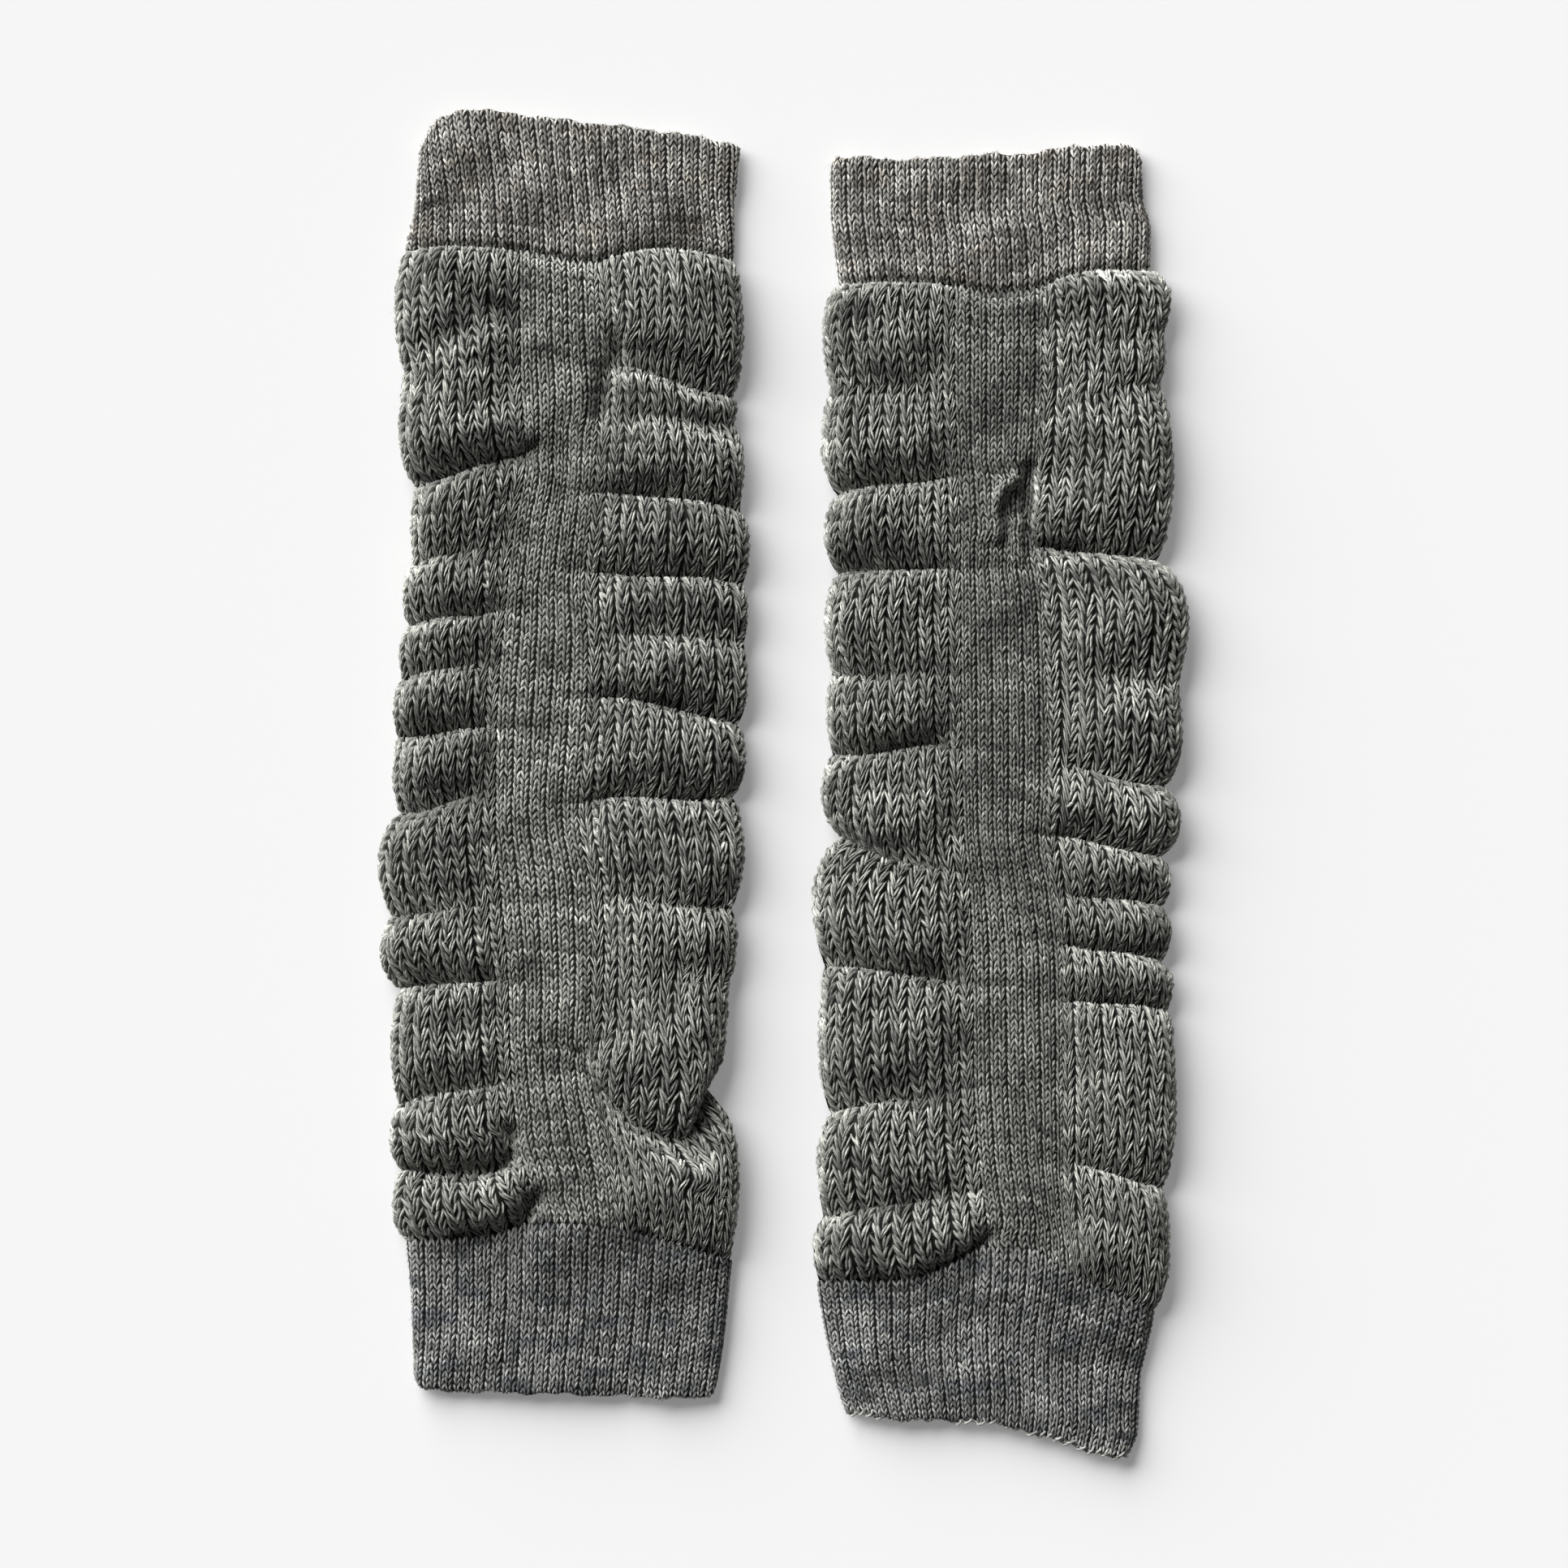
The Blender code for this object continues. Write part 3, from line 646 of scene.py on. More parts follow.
RIGHT_MARKS = (
    Mark(((14.0, 140.0), (46.0, 150.0)), 5.0, -1.4),
    Mark(((8.6, 96.5), (7.4, 90.0), (7.2, 84.0), (8.8, 78.5), (12.6, 73.4), (22.0, 71.0)), 2.4, -3.6),
    Mark(((3.4, 90.0), (1.8, 84.0), (2.4, 76.5)), 1.9, -1.8),
    Mark(((4.0, 93.5), (-0.2, 90.0), (-2.4, 83.5), (-1.0, 77.0)), 1.7, 2.3),
    Mark(((5.2, 81.0), (4.8, 75.0), (5.2, 69.0)), 1.5, 1.6),
    Mark(((-4.6, -139.5), (-8.3, -144.3), (-13.0, -147.8), (-20.0, -150.4)), 3.2, -5.0),
    Mark(((26.0, -154.0), (34.0, -157.2), (46.0, -162.0)), 1.7, -3.2),
)


@dataclass(frozen=True)
class Leg:
    """Tables of one leg warmer and the lines that its pieces share."""

    name: str
    axis: float
    strip: tuple[StripRow, ...]
    top: CuffForm
    bottom: CuffForm
    panels: dict[Side, tuple[str, tuple[Fold, ...]]]
    marks: tuple[Mark, ...] = ()
    phase: float = 0.0

    def strip_edge(self, side: Side, y: Array) -> Array:
        """X of the seam between the strip and the side panel on this side.

        Args:
            side: side of the strip.
            y: places along the leg.

        Returns:
            X from the leg's axis at each place.
        """
        return smooth([(row.y, row.left if side is Side.LEFT else row.right) for row in self.strip], y)

    def seam_place(self, cuff: CuffForm, side: Side, reach: float, across: Array) -> tuple[Array, Array]:
        """Place of a cuff's seam, these shares of the way from the strip to the edge.

        Args:
            cuff: the cuff.
            side: side of the strip.
            reach: X of the edge of the leg, without its sign.
            across: shares of the way.

        Returns:
            X and Y at each share.
        """
        start = self.strip_edge(side, cuff.seam_y(0.0))
        for _ in range(5):
            start = self.strip_edge(side, cuff.seam_y(start))
        x = lerp(start, side.value * reach, across)
        return x, cuff.seam_y(x)

    def crease_y(self, side: Side, number: int, across: Array) -> Array:
        """Y of one crease, these shares of the way from the strip to the edge of the leg.

        Args:
            side: side of the strip.
            number: number of the crease from the top.
            across: shares of the way.

        Returns:
            Y at each share.
        """
        folds = self.panels[side][1]
        fold = folds[number]
        if number == 0:
            return self.seam_place(self.top, side, fold.crease_reach, across)[1] - SEAM_GAP / 2
        if number == len(folds) - 1:
            return self.seam_place(self.bottom, side, fold.crease_reach, across)[1] + SEAM_GAP / 2
        turn = FORM.wobble_turn * number + self.phase
        wave = FORM.wobble * math.sin(turn) * np.sin(2 * math.pi * across)
        bow = np.sin(math.pi * across)
        if fold.peak != 0.5:
            rising = np.sin(0.5 * math.pi * np.clip(across / fold.peak, 0.0, 1.0))
            falling = np.clip((1 - across) / (1 - fold.peak), 0.0, 1.0)
            bow = np.where(across < fold.peak, rising, ease(falling))
        return lerp(fold.strip_y, fold.edge_y, across) + fold.bend * bow + wave

    def puff_height(self, side: Side, number: int) -> float:
        """Height of one puff over its creases, from the distance between them.

        Args:
            side: side of the strip.
            number: number of the puff's upper crease.

        Returns:
            The height.
        """
        upper, lower = self.panels[side][1][number : number + 2]
        length = (upper.strip_y + upper.edge_y - lower.strip_y - lower.edge_y) / 2
        return min(max(FORM.puff_rise * length, FORM.least_puff), FORM.most_puff)

    def crease_height(self, side: Side, number: int) -> float:
        """Height that is left in a crease that isn't full depth.

        Args:
            side: side of the strip.
            number: number of the crease.

        Returns:
            The height, 0 at full depth.
        """
        folds = self.panels[side][1]
        last = len(folds) - 2
        puff_above = self.puff_height(side, max(number - 1, 0))
        puff_below = self.puff_height(side, min(number, last))
        return (1 - folds[number].depth) * (puff_above + puff_below) / 2

    def plain_height(self, side: Side, number: int, share: Array) -> Array:
        """Height of the plain puff of the part.

        Args:
            side: side of the strip.
            number: number of the puff's upper crease.
            share: shares of the way from this crease to the next.

        Returns:
            The height at each share.
        """
        upper, lower = self.panels[side][1][number : number + 2]
        length = upper.strip_y - lower.strip_y
        upper_flank = min(FORM.plain_upper, length * FORM.plain_upper_share)
        lower_flank = min(FORM.plain_lower, length * FORM.plain_lower_share)
        bulge = FORM.plain_flank(share * length / upper_flank)
        bulge = bulge * FORM.plain_flank((1 - share) * length / lower_flank)
        floor = lerp(self.crease_height(side, number), self.crease_height(side, number + 1), share)
        return lerp(floor, self.puff_height(side, number), bulge)

    def height_at_strip(self, side: Side, y: Array) -> Array:
        """Height of a panel's cloth along the strip.

        Args:
            side: side of the strip.
            y: places along the leg.

        Returns:
            The height at each place.
        """
        folds = self.panels[side][1]
        height = np.zeros_like(y)
        for number in range(len(folds) - 1):
            upper, lower = folds[number].strip_y, folds[number + 1].strip_y
            share = (upper - y) / (upper - lower)
            here = (y <= upper) & (y > lower) if number else y > lower
            if number == len(folds) - 2:
                here |= y <= lower
            values = self.plain_height(side, number, np.clip(share, 0.0, 1.0))
            height = np.where(here, values, height)
        return height

    def ripple(self, x: Array, y: Array, amount: Array) -> Array:
        """Small soft waves of the cloth, different all over the leg.

        Args:
            x: places across the leg.
            y: places along the leg.
            amount: size of the waves.

        Returns:
            The height that they add.
        """
        waves = [w.size * np.sin(x / w.across + y / w.along + w.turn * self.phase) for w in WAVES]
        return amount * sum(waves)

    def relief(self, x: Array, y: Array, amount: Array) -> Array:
        """Ripples and placed marks of the front cloth.

        Args:
            x: places across the leg.
            y: places along the leg.
            amount: size of the ripples.

        Returns:
            The height that they add.
        """
        height = self.ripple(x, y, amount)
        for mark in self.marks:
            nearest = np.full_like(x, np.inf)
            for start, end in zip(mark.line, mark.line[1:]):
                line = np.subtract(end, start)
                dx, dy = x - start[0], y - start[1]
                along = np.clip((dx * line[0] + dy * line[1]) / (line @ line), 0.0, 1.0)
                away = np.hypot(dx - along * line[0], dy - along * line[1])
                nearest = np.minimum(nearest, away)
            height = height + mark.height * np.exp(-((nearest / mark.width) ** 2))
        return height


@dataclass
class KnitGrid:
    """A cloth's surface as a grid of points that runs down the leg, evenly in stitches.

    The number of wales is set by the percentile TYPICAL_WIDTH of its widths, and that of courses
    by TYPICAL_LENGTH of its lengths.

    outward is the sign that turns the grid's own normal to the outside, tight the share by which
    the wales beside a seam are narrower, and samples the number of points for one stitch.
    """

    points: Array
    wales: int
    courses: int
    outward: int
    tight: float = 0.0
    samples: int = 4
    normals: Array = field(init=False)

    def __post_init__(self) -> None:
        """Works out the outward normals."""
        along = np.gradient(self.points, axis=0)
        across = np.gradient(self.points, axis=1)
        normals = np.cross(across, along) * self.outward
        self.normals = normals / np.maximum(np.linalg.norm(normals, axis=2, keepdims=True), 1e-9)

    @classmethod
    def of(
        cls, points: Array, gauge: Gauge, outward: int, tight: float = 0.0, samples: int = 4
    ) -> KnitGrid:
        """Grid of whole stitches over a surface.

        Args:
            points: surface points, rows down the leg by columns across it by 3.
            gauge: sizes of the knit.
            outward: sign of the outward normal.
            tight: share by which the wales beside a seam are narrower.
            samples: points for one stitch.

        Returns:
            The grid, whose stitches are as near to the gauge as a whole number allows.
        """
        width = np.linalg.norm(np.diff(points, axis=1), axis=2).sum(axis=1)
        wales = max(2, round(float(np.percentile(width, TYPICAL_WIDTH)) / gauge.wale))
        place = (np.arange(wales * samples) + 0.5) / samples
        beside = np.minimum(place, wales - place)
        even = spread(points, 1 - tight * np.exp(-((beside / FORM.seam_reach) ** 2)))
        length = np.linalg.norm(np.diff(even, axis=0), axis=2).sum(axis=0)
        courses = max(2, round(float(np.percentile(length, TYPICAL_LENGTH)) / gauge.course))
        even = spread(even.transpose(1, 0, 2), np.ones(courses * samples)).transpose(1, 0, 2)
        return cls(even, wales, courses, outward, tight, samples)

    def at(self, wale: Array, course: Array) -> tuple[Array, Array]:
        """Surface at places given in wales and courses.

        Args:
            wale: places across, in wales.
            course: places down, in courses.

        Returns:
            The points and the normals.
        """
        rows, columns = self.points.shape[:2]
        row, column = course * self.samples, wale * self.samples
        r = np.clip(row.astype(int), 0, rows - 2)
        c = np.clip(column.astype(int), 0, columns - 2)
        fr, fc = (row - r)[..., None], (column - c)[..., None]

        def pick(values: Array) -> Array:
            """Values between the four points round each place."""
            upper = lerp(values[r, c], values[r, c + 1], fc)
            return lerp(upper, lerp(values[r + 1, c], values[r + 1, c + 1], fc), fr)

        return pick(self.points), pick(self.normals)


def new_mesh(name: str, points: Array, quads: Array, maps: dict[str, Array]) -> bpy.types.Mesh:
    """Smooth mesh of four-sided faces.

    Args:
        name: name of the mesh.
        points: vertices in metres.
        quads: vertex numbers of each face.
        maps: UV coordinates for each vertex, by the name of the UV map.

    Returns:
        The mesh.
    """
    mesh = bpy.data.meshes.new(name)
    mesh.vertices.add(len(points))
    mesh.vertices.foreach_set("co", points.astype(np.float32).ravel())
    mesh.loops.add(quads.size)
    mesh.loops.foreach_set("vertex_index", quads.astype(np.int32).ravel())
    mesh.polygons.add(len(quads))
    mesh.polygons.foreach_set("loop_start", np.arange(0, quads.size, 4, dtype=np.int32))
    mesh.update(calc_edges=True)
    mesh.shade_smooth()
    for map_name, uv in maps.items():
        layer = mesh.uv_layers.new(name=map_name)
        layer.uv.foreach_set("vector", uv[quads.ravel()].astype(np.float32).ravel())
    return mesh


def grid_quads(rows: int, columns: int) -> Array:
    """Vertex numbers of the faces of one grid of points.

    Args:
        rows: rows of the grid.
        columns: columns of the grid.

    Returns:
        Four numbers for each face.
    """
    r, c = np.meshgrid(np.arange(rows - 1), np.arange(columns - 1), indexing="ij")
    corner = (r * columns + c).ravel()
    return np.stack([corner, corner + columns, corner + columns + 1, corner + 1], axis=1)


class NodeBoard:
    """Adds and links shader nodes."""

    def __init__(self, name: str) -> None:
        """Starts a new material.

        Args:
            name: name of the material.
        """
        self.material = bpy.data.materials.new(name)
        self.material.use_nodes = True
        self.tree = self.material.node_tree
        self.shader = self.tree.nodes["Principled BSDF"]

    def node(self, kind: str, **settings: str) -> bpy.types.Node:
        """Adds a node.

        Args:
            kind: type of the node.
            **settings: its settings by name.

        Returns:
            The node.
        """
        node = self.tree.nodes.new(kind)
        for key, value in settings.items():
            setattr(node, key, value)
        return node

    def math(
        self, operation: str, first: bpy.types.NodeSocket, second: bpy.types.NodeSocket | float
    ) -> bpy.types.NodeSocket:
        """Adds a math node.

        Args:
            operation: name of the operation.
            first: socket that it takes first.
            second: socket or value that it takes second.

        Returns:
            The output.
        """
        node = self.node("ShaderNodeMath", operation=operation)
        self.feed(node.inputs[0], first)
        self.feed(node.inputs[1], second)
        return node.outputs[0]

    def feed(
        self, socket: bpy.types.NodeSocket, value: bpy.types.NodeSocket | float | tuple[float, ...]
    ) -> None:
        """Links a socket to another, or sets its value.

        Args:
            socket: the input.
            value: the output that it is linked to, or its value.
        """
        if isinstance(value, bpy.types.NodeSocket):
            self.tree.links.new(value, socket)
        else:
            socket.default_value = value


    def noise(
        self, place: bpy.types.NodeSocket, detail: float, roughness: float = 0.5
    ) -> bpy.types.NodeSocket:
        """Adds a noise with waves one unit long.

        Args:
            place: place that it is read at.
            detail: number of finer layers.
            roughness: strength of the finer layers.

        Returns:
            The output, from 0 to 1.
        """
        node = self.node("ShaderNodeTexNoise")
        self.feed(node.inputs["Vector"], place)
        self.feed(node.inputs["Scale"], 1.0)
        self.feed(node.inputs["Detail"], detail)
        self.feed(node.inputs["Roughness"], roughness)
        return node.outputs["Fac"]

    def ramp(
        self, value: bpy.types.NodeSocket, limits: tuple[float, float]
    ) -> bpy.types.NodeSocket:
        """Adds a soft step.

        Args:
            value: socket that it reads.
            limits: values where the step starts and ends.

        Returns:
            The output, from 0 to 1.
        """
        node = self.node("ShaderNodeMapRange", interpolation_type="SMOOTHSTEP")
        self.feed(node.inputs["Value"], value)
        self.feed(node.inputs["From Min"], limits[0])
        self.feed(node.inputs["From Max"], limits[1])
        return node.outputs["Result"]

    def mix(
        self, share: bpy.types.NodeSocket, first: bpy.types.NodeSocket | tuple[float, ...],
        second: tuple[float, ...], blend: str = "MIX",
    ) -> bpy.types.NodeSocket:
        """Adds a mix of two colours.

        Args:
            share: share of the second colour.
            first: first colour.
            second: second colour.
            blend: how the second is laid over the first.

        Returns:
            The mixed colour.
        """
        node = self.node("ShaderNodeMix", data_type="RGBA", blend_type=blend)
        self.feed(node.inputs["Factor"], share)
        self.feed(node.inputs["A"], first)
        self.feed(node.inputs["B"], second)
        return node.outputs["Result"]


@dataclass(frozen=True)
class HeatherYarn:
    """Melange yarn: dark and light fibres side by side, with a soft matt surface.

    twist, across_scale and along_scale set how the fibres wind along the yarn. patch is the
    colour that soft patches of patch_size are dyed with, and white leaves the yarn plain. The
    ground_ values are those of the cloth between the stitches, which is painted shade: it is painted
    near black, a share of the dark fibres' colour, to stand in for the shade in the gaps.
    """

    dark: tuple[float, float, float]
    light: tuple[float, float, float]
    roughness: float = 0.9
    sheen: float = 0.38
    sheen_roughness: float = 0.5
    across_scale: float = 4.5
    along_scale: float = 0.55
    twist: float = 0.22
    seed_spacing: float = 91.0
    fibre_detail: float = 3.0
    fibre_roughness: float = 0.7
    fibre_share: tuple[float, float] = (0.3, 0.72)
    patch_share: tuple[float, float] = (0.51, 0.65)
    specular: float = 0.2
    # painted shade: share of the dark fibres' colour that the cloth between the stitches gets
    ground_tone: float = 0.45
    ground_specular: float = 0.1
    bump: float = 0.00012
    patch: tuple[float, float, float] = (1.0, 1.0, 1.0)
    patch_size: tuple[float, float] = (0.013, 0.007)

    def material(self, name: str) -> bpy.types.Material:
        """Material of the stitches.

        Args:
            name: name of the material.

        Returns:
            A material that reads the stitches' own map and their tone and seed.
        """
        board = NodeBoard(name)
        place = board.node("ShaderNodeSeparateXYZ")
        board.feed(place.inputs[0], board.node("ShaderNodeUVMap", uv_map="Yarn").outputs[0])
        seed = board.node("ShaderNodeAttribute", attribute_name="seed").outputs["Fac"]
        tone = board.node("ShaderNodeAttribute", attribute_name="tone").outputs["Fac"]
        turned = board.math("MULTIPLY", place.outputs[1], self.twist)
        twisted = board.math("ADD", place.outputs[0], turned)
        spot = board.node("ShaderNodeCombineXYZ")
        board.feed(spot.inputs[0], board.math("MULTIPLY", twisted, self.across_scale))
        board.feed(spot.inputs[1], board.math("MULTIPLY", place.outputs[1], self.along_scale))
        board.feed(spot.inputs[2], board.math("MULTIPLY", seed, self.seed_spacing))
        fibres = board.noise(spot.outputs[0], self.fibre_detail, self.fibre_roughness)
        share = board.ramp(fibres, self.fibre_share)
        yarn = board.mix(share, (*self.dark, 1.0), (*self.light, 1.0))
        toned = board.node("ShaderNodeVectorMath", operation="SCALE")
        board.feed(toned.inputs[0], yarn)
        board.feed(toned.inputs["Scale"], tone)
        board.feed(board.shader.inputs["Base Color"], self._patched(board, toned.outputs[0]))
        bump = board.node("ShaderNodeBump")
        board.feed(bump.inputs["Height"], fibres)
        board.feed(bump.inputs["Distance"], self.bump)
        board.feed(bump.inputs["Strength"], 1.0)
        board.feed(board.shader.inputs["Normal"], bump.outputs[0])
        board.shader.inputs["Roughness"].default_value = self.roughness
        board.shader.inputs["Sheen Weight"].default_value = self.sheen
        board.shader.inputs["Sheen Roughness"].default_value = self.sheen_roughness
        board.shader.inputs["Specular IOR Level"].default_value = self.specular
        return board.material

    def _patched(self, board: NodeBoard, colour: bpy.types.NodeSocket) -> bpy.types.NodeSocket:
        """Colour that leans towards that of the dyed fibres in soft patches along the courses.

        Args:
            board: nodes of the material.
            colour: colour of the plain yarn.

        Returns:
            The colour with its patches.
        """
        place = board.node("ShaderNodeVectorMath", operation="DIVIDE")
        board.feed(place.inputs[0], board.node("ShaderNodeTexCoord").outputs["Object"])
        board.feed(place.inputs[1], (*self.patch_size, 1.0))
        share = board.ramp(board.noise(place.outputs[0], 2.0), self.patch_share)
        return board.mix(share, colour, (*self.patch, 1.0), "MULTIPLY")

    def ground(self, name: str) -> bpy.types.Material:
        """Material of the cloth between the stitches, painted dark as the shade in the gaps.

        Args:
            name: name of the material.

        Returns:
            The material.
        """
        board = NodeBoard(name)
        # painted shade: near black, standing in for the shade between the stitches
        colour = (*(self.ground_tone * c for c in self.dark), 1.0)
        board.shader.inputs["Base Color"].default_value = colour
        board.shader.inputs["Roughness"].default_value = 1.0
        board.shader.inputs["Specular IOR Level"].default_value = self.ground_specular
        return board.material


WARM = HeatherYarn(dark=(0.048, 0.046, 0.043), light=(0.76, 0.742, 0.685), patch=(0.84, 0.8, 0.765))
NEUTRAL = HeatherYarn(dark=(0.039, 0.040, 0.036), light=(0.555, 0.561, 0.51))
MUTED = HeatherYarn(dark=(0.031, 0.032, 0.029), light=(0.42, 0.425, 0.386))
DEEP = HeatherYarn(dark=(0.034, 0.035, 0.031), light=(0.55, 0.555, 0.503))
RAW = HeatherYarn(dark=(0.1, 0.097, 0.09), light=(0.56, 0.55, 0.515))
COOL = HeatherYarn(dark=(0.031, 0.032, 0.032), light=(0.5, 0.505, 0.477), patch=(0.6, 0.615, 0.675))


class YarnPart(NamedTuple):
    """Many pieces of yarn of one form: their points and faces, and what each point carries.

    yarn holds the coordinates along the yarn, cell those within a piece's own cell of the baked
    map. count is the number of pieces, and size the points of one.
    """

    points: Array
    quads: Array
    yarn: Array
    tone: Array
    seed: Array
    cell: Array
    count: int
    size: int


@dataclass
class StitchLayer:
    """The V-shaped stitches that lie on one cloth."""

    name: str
    grid: KnitGrid
    gauge: Gauge
    seed: int
    pale_course: int | None = None
    drifts: Array = field(init=False)

    def _template(self, mesh: tuple[int, int], strands: int) -> tuple[Array, ...]:
        """Shape of one strand.

        Args:
            mesh: points across and along the strand.
            strands: strands of the leg.

        Returns:
            For each point its wale, course, height and two yarn coordinates, and then the faces.
        """
        across_count, along_count = mesh
        gauge = self.gauge
        turn = np.linspace(-0.5, 0.5, across_count) * math.pi
        s = np.linspace(0.0, 1.0, along_count)[:, None]
        angle = turn[None, :]
        body = np.clip(np.sin(math.pi * lerp(*STITCH.taper, s)), 0, 1) ** STITCH.bluntness
        half = 0.5 * gauge.leg_width / gauge.wale * body / strands**STITCH.strand_slimming
        centre = lerp(gauge.top_place, gauge.foot_place, s**STITCH.foot_curve)
        wale = centre + half * 2 * angle / math.pi
        course = lerp(-gauge.reach, gauge.reach, s) + STITCH.cup * np.cos(angle)
        rise = np.sin(math.pi * lerp(*STITCH.arch, s)) ** STITCH.arch_fullness
        lens = 1 - (2 * angle / math.pi) ** 2
        height = gauge.leg_height * (rise * lens + STITCH.wall * rise - STITCH.sunk)
        across = np.broadcast_to(angle / math.pi + 0.5, wale.shape)
        along = np.broadcast_to(s * gauge.course * STITCH.map_length, wale.shape)
        columns = [a.ravel() for a in (wale, course, height, across, along)]
        return (*columns, grid_quads(along_count, across_count))

    def _tones(self, rng: np.random.Generator) -> Array:
        """Tone of each stitch: runs of lighter and darker yarn along the courses.

        Args:
            rng: source of the random draws.

        Returns:
            A tone for each course and wale, 1 on average.
        """
        grid, gauge, size = self.grid, self.gauge, STITCH.patch_stitches
        wales, courses = grid.wales, grid.courses
        places = np.arange(wales) / gauge.run
        knots = rng.normal(size=(courses, int(wales / gauge.run) + 3))
        low = places.astype(int)
        part = places - low
        run = knots[:, low] * (1 - part) + knots[:, low + 1] * part
        patch = rng.normal(size=(courses // size + 3, wales // size + 3))
        rows, columns = np.arange(courses) / size, np.arange(wales) / size
        r, c = rows.astype(int), columns.astype(int)
        fr, fc = ease(rows - r)[:, None], ease(columns - c)[None, :]
        soft = lerp(
            lerp(patch[r][:, c], patch[r][:, c + 1], fc),
            lerp(patch[r + 1][:, c], patch[r + 1][:, c + 1], fc),
            fr,
        )
        tones = 1.0 + gauge.run_tone * run + gauge.patch_tone * soft
        if self.pale_course is not None:
            tones[self.pale_course] *= STITCH.pale
        return tones

    def build(self) -> bpy.types.Object:
        """Makes the mesh of all stitches.

        Returns:
            The object, with the UV maps Yarn and OFBake and the attributes tone and seed.
        """
        rng = np.random.default_rng(self.seed)
        grid, gauge = self.grid, self.gauge
        tones = self._tones(rng)
        most = STITCH.most_drift
        self.drifts = np.clip(rng.normal(size=grid.wales), -most, most)
        course, wale = np.meshgrid(np.arange(grid.courses), np.arange(grid.wales), indexing="ij")
        course, wale, tones = (np.repeat(a.ravel(), 2) for a in (course + 0.5, wale + 0.5, tones))
        flip = np.tile([-1.0, 1.0], len(course) // 2)
        _, normals = grid.at(wale, course)
        under = normals[:, 2] < STITCH.under_facing
        parts: list[YarnPart] = []
        for chosen, mesh, strands in (
            (~under, gauge.front_mesh, gauge.strands), (under, gauge.under_mesh, 1)
        ):
            if chosen.any():
                rows = (a[chosen] for a in (wale, course, flip, tones))
                parts.append(self._legs(rng, *rows, mesh, strands))
        parts.append(self._fibres(rng))
        sizes = np.cumsum([0] + [len(part.points) for part in parts])
        quads = np.concatenate([part.quads + start for part, start in zip(parts, sizes)])
        points, yarn, tone, seed = (
            np.concatenate([getattr(part, key) for part in parts])
            for key in ("points", "yarn", "tone", "seed")
        )
        atlas = self._atlas(parts)
        mesh = new_mesh(self.name, points * MM, quads, {"Yarn": yarn, "OFBake": atlas})
        for title, values in (("tone", tone), ("seed", seed)):
            layer = mesh.attributes.new(title, "FLOAT", "POINT")
            layer.data.foreach_set("value", values.astype(np.float32))
        piece = bpy.data.objects.new(self.name, mesh)
        bpy.context.scene.collection.objects.link(piece)
        return piece

    def _atlas(self, parts: list[YarnPart]) -> Array:
        """Places on the baked map, where each piece of yarn has a square cell of its own.

        Args:
            parts: all yarn of the layer.

        Returns:
            A place for each point.
        """
        total = sum(part.count for part in parts)
        side = math.ceil(math.sqrt(total))
        starts = np.cumsum([0] + [part.count for part in parts])
        number = np.concatenate(
            [np.repeat(np.arange(part.count), part.size) + start for part, start in zip(parts, starts)]
        )
        cell = np.concatenate([part.cell for part in parts])
        corner = np.stack([number % side, number // side], axis=1)
        atlas = corner + STITCH.map_margin + (1 - 2 * STITCH.map_margin) * cell
        return atlas / np.array([side, math.ceil(total / side)])

    def _fibres(self, rng: np.random.Generator) -> YarnPart:
        """Fine loose fibres that stand off the stitches.

        Args:
            rng: source of the random draws.

        Returns:
            The fibres.
        """
        grid, gauge, form = self.grid, self.gauge, FIBRES
        count = round(gauge.fibres * grid.wales * grid.courses)
        wale = rng.uniform(form.margin, grid.wales - form.margin, (count, 1))
        course = rng.uniform(form.margin, grid.courses - form.margin, (count, 1))
        base, normal = grid.at(wale, course)
        toward = rng.normal(size=(count, 1, 3))
        toward = toward - (toward * normal).sum(axis=2, keepdims=True) * normal
        toward = toward / np.linalg.norm(toward, axis=2, keepdims=True)
        aside = np.cross(normal, toward)
        t = np.linspace(0.0, 1.0, form.steps)[None, :, None]
        length = rng.uniform(*form.length, (count, 1, 1))
        curl = rng.normal(size=(count, 1, 1)) * form.curl
        lift = rng.uniform(*form.lift, (count, 1, 1)) * form.rise
        rise = gauge.leg_height * 0.5 + lift * np.sin(form.turn * t)
        line = base + toward * length * t + normal * rise + aside * curl * length * np.sin(math.pi * t)
        half = form.width / 2 * (1 - form.taper * t)
        points = np.stack([line - aside * half, line + aside * half], axis=2)
        points[..., 2] = np.maximum(points[..., 2], form.least_height)
        size = 2 * form.steps
        quads = grid_quads(form.steps, 2)[None] + (np.arange(count) * size)[:, None, None]
        cell = np.stack(np.meshgrid(t.ravel(), [0.0, 1.0], indexing="ij"), axis=-1).reshape(-1, 2)
        cell = np.tile(cell, (count, 1))
        seeds = rng.random(count)
        tones = np.repeat(rng.uniform(*form.tone, count), size)
        return YarnPart(
            points.reshape(-1, 3), quads.reshape(-1, 4), cell, tones, np.repeat(seeds, size), cell,
            count, size,
        )

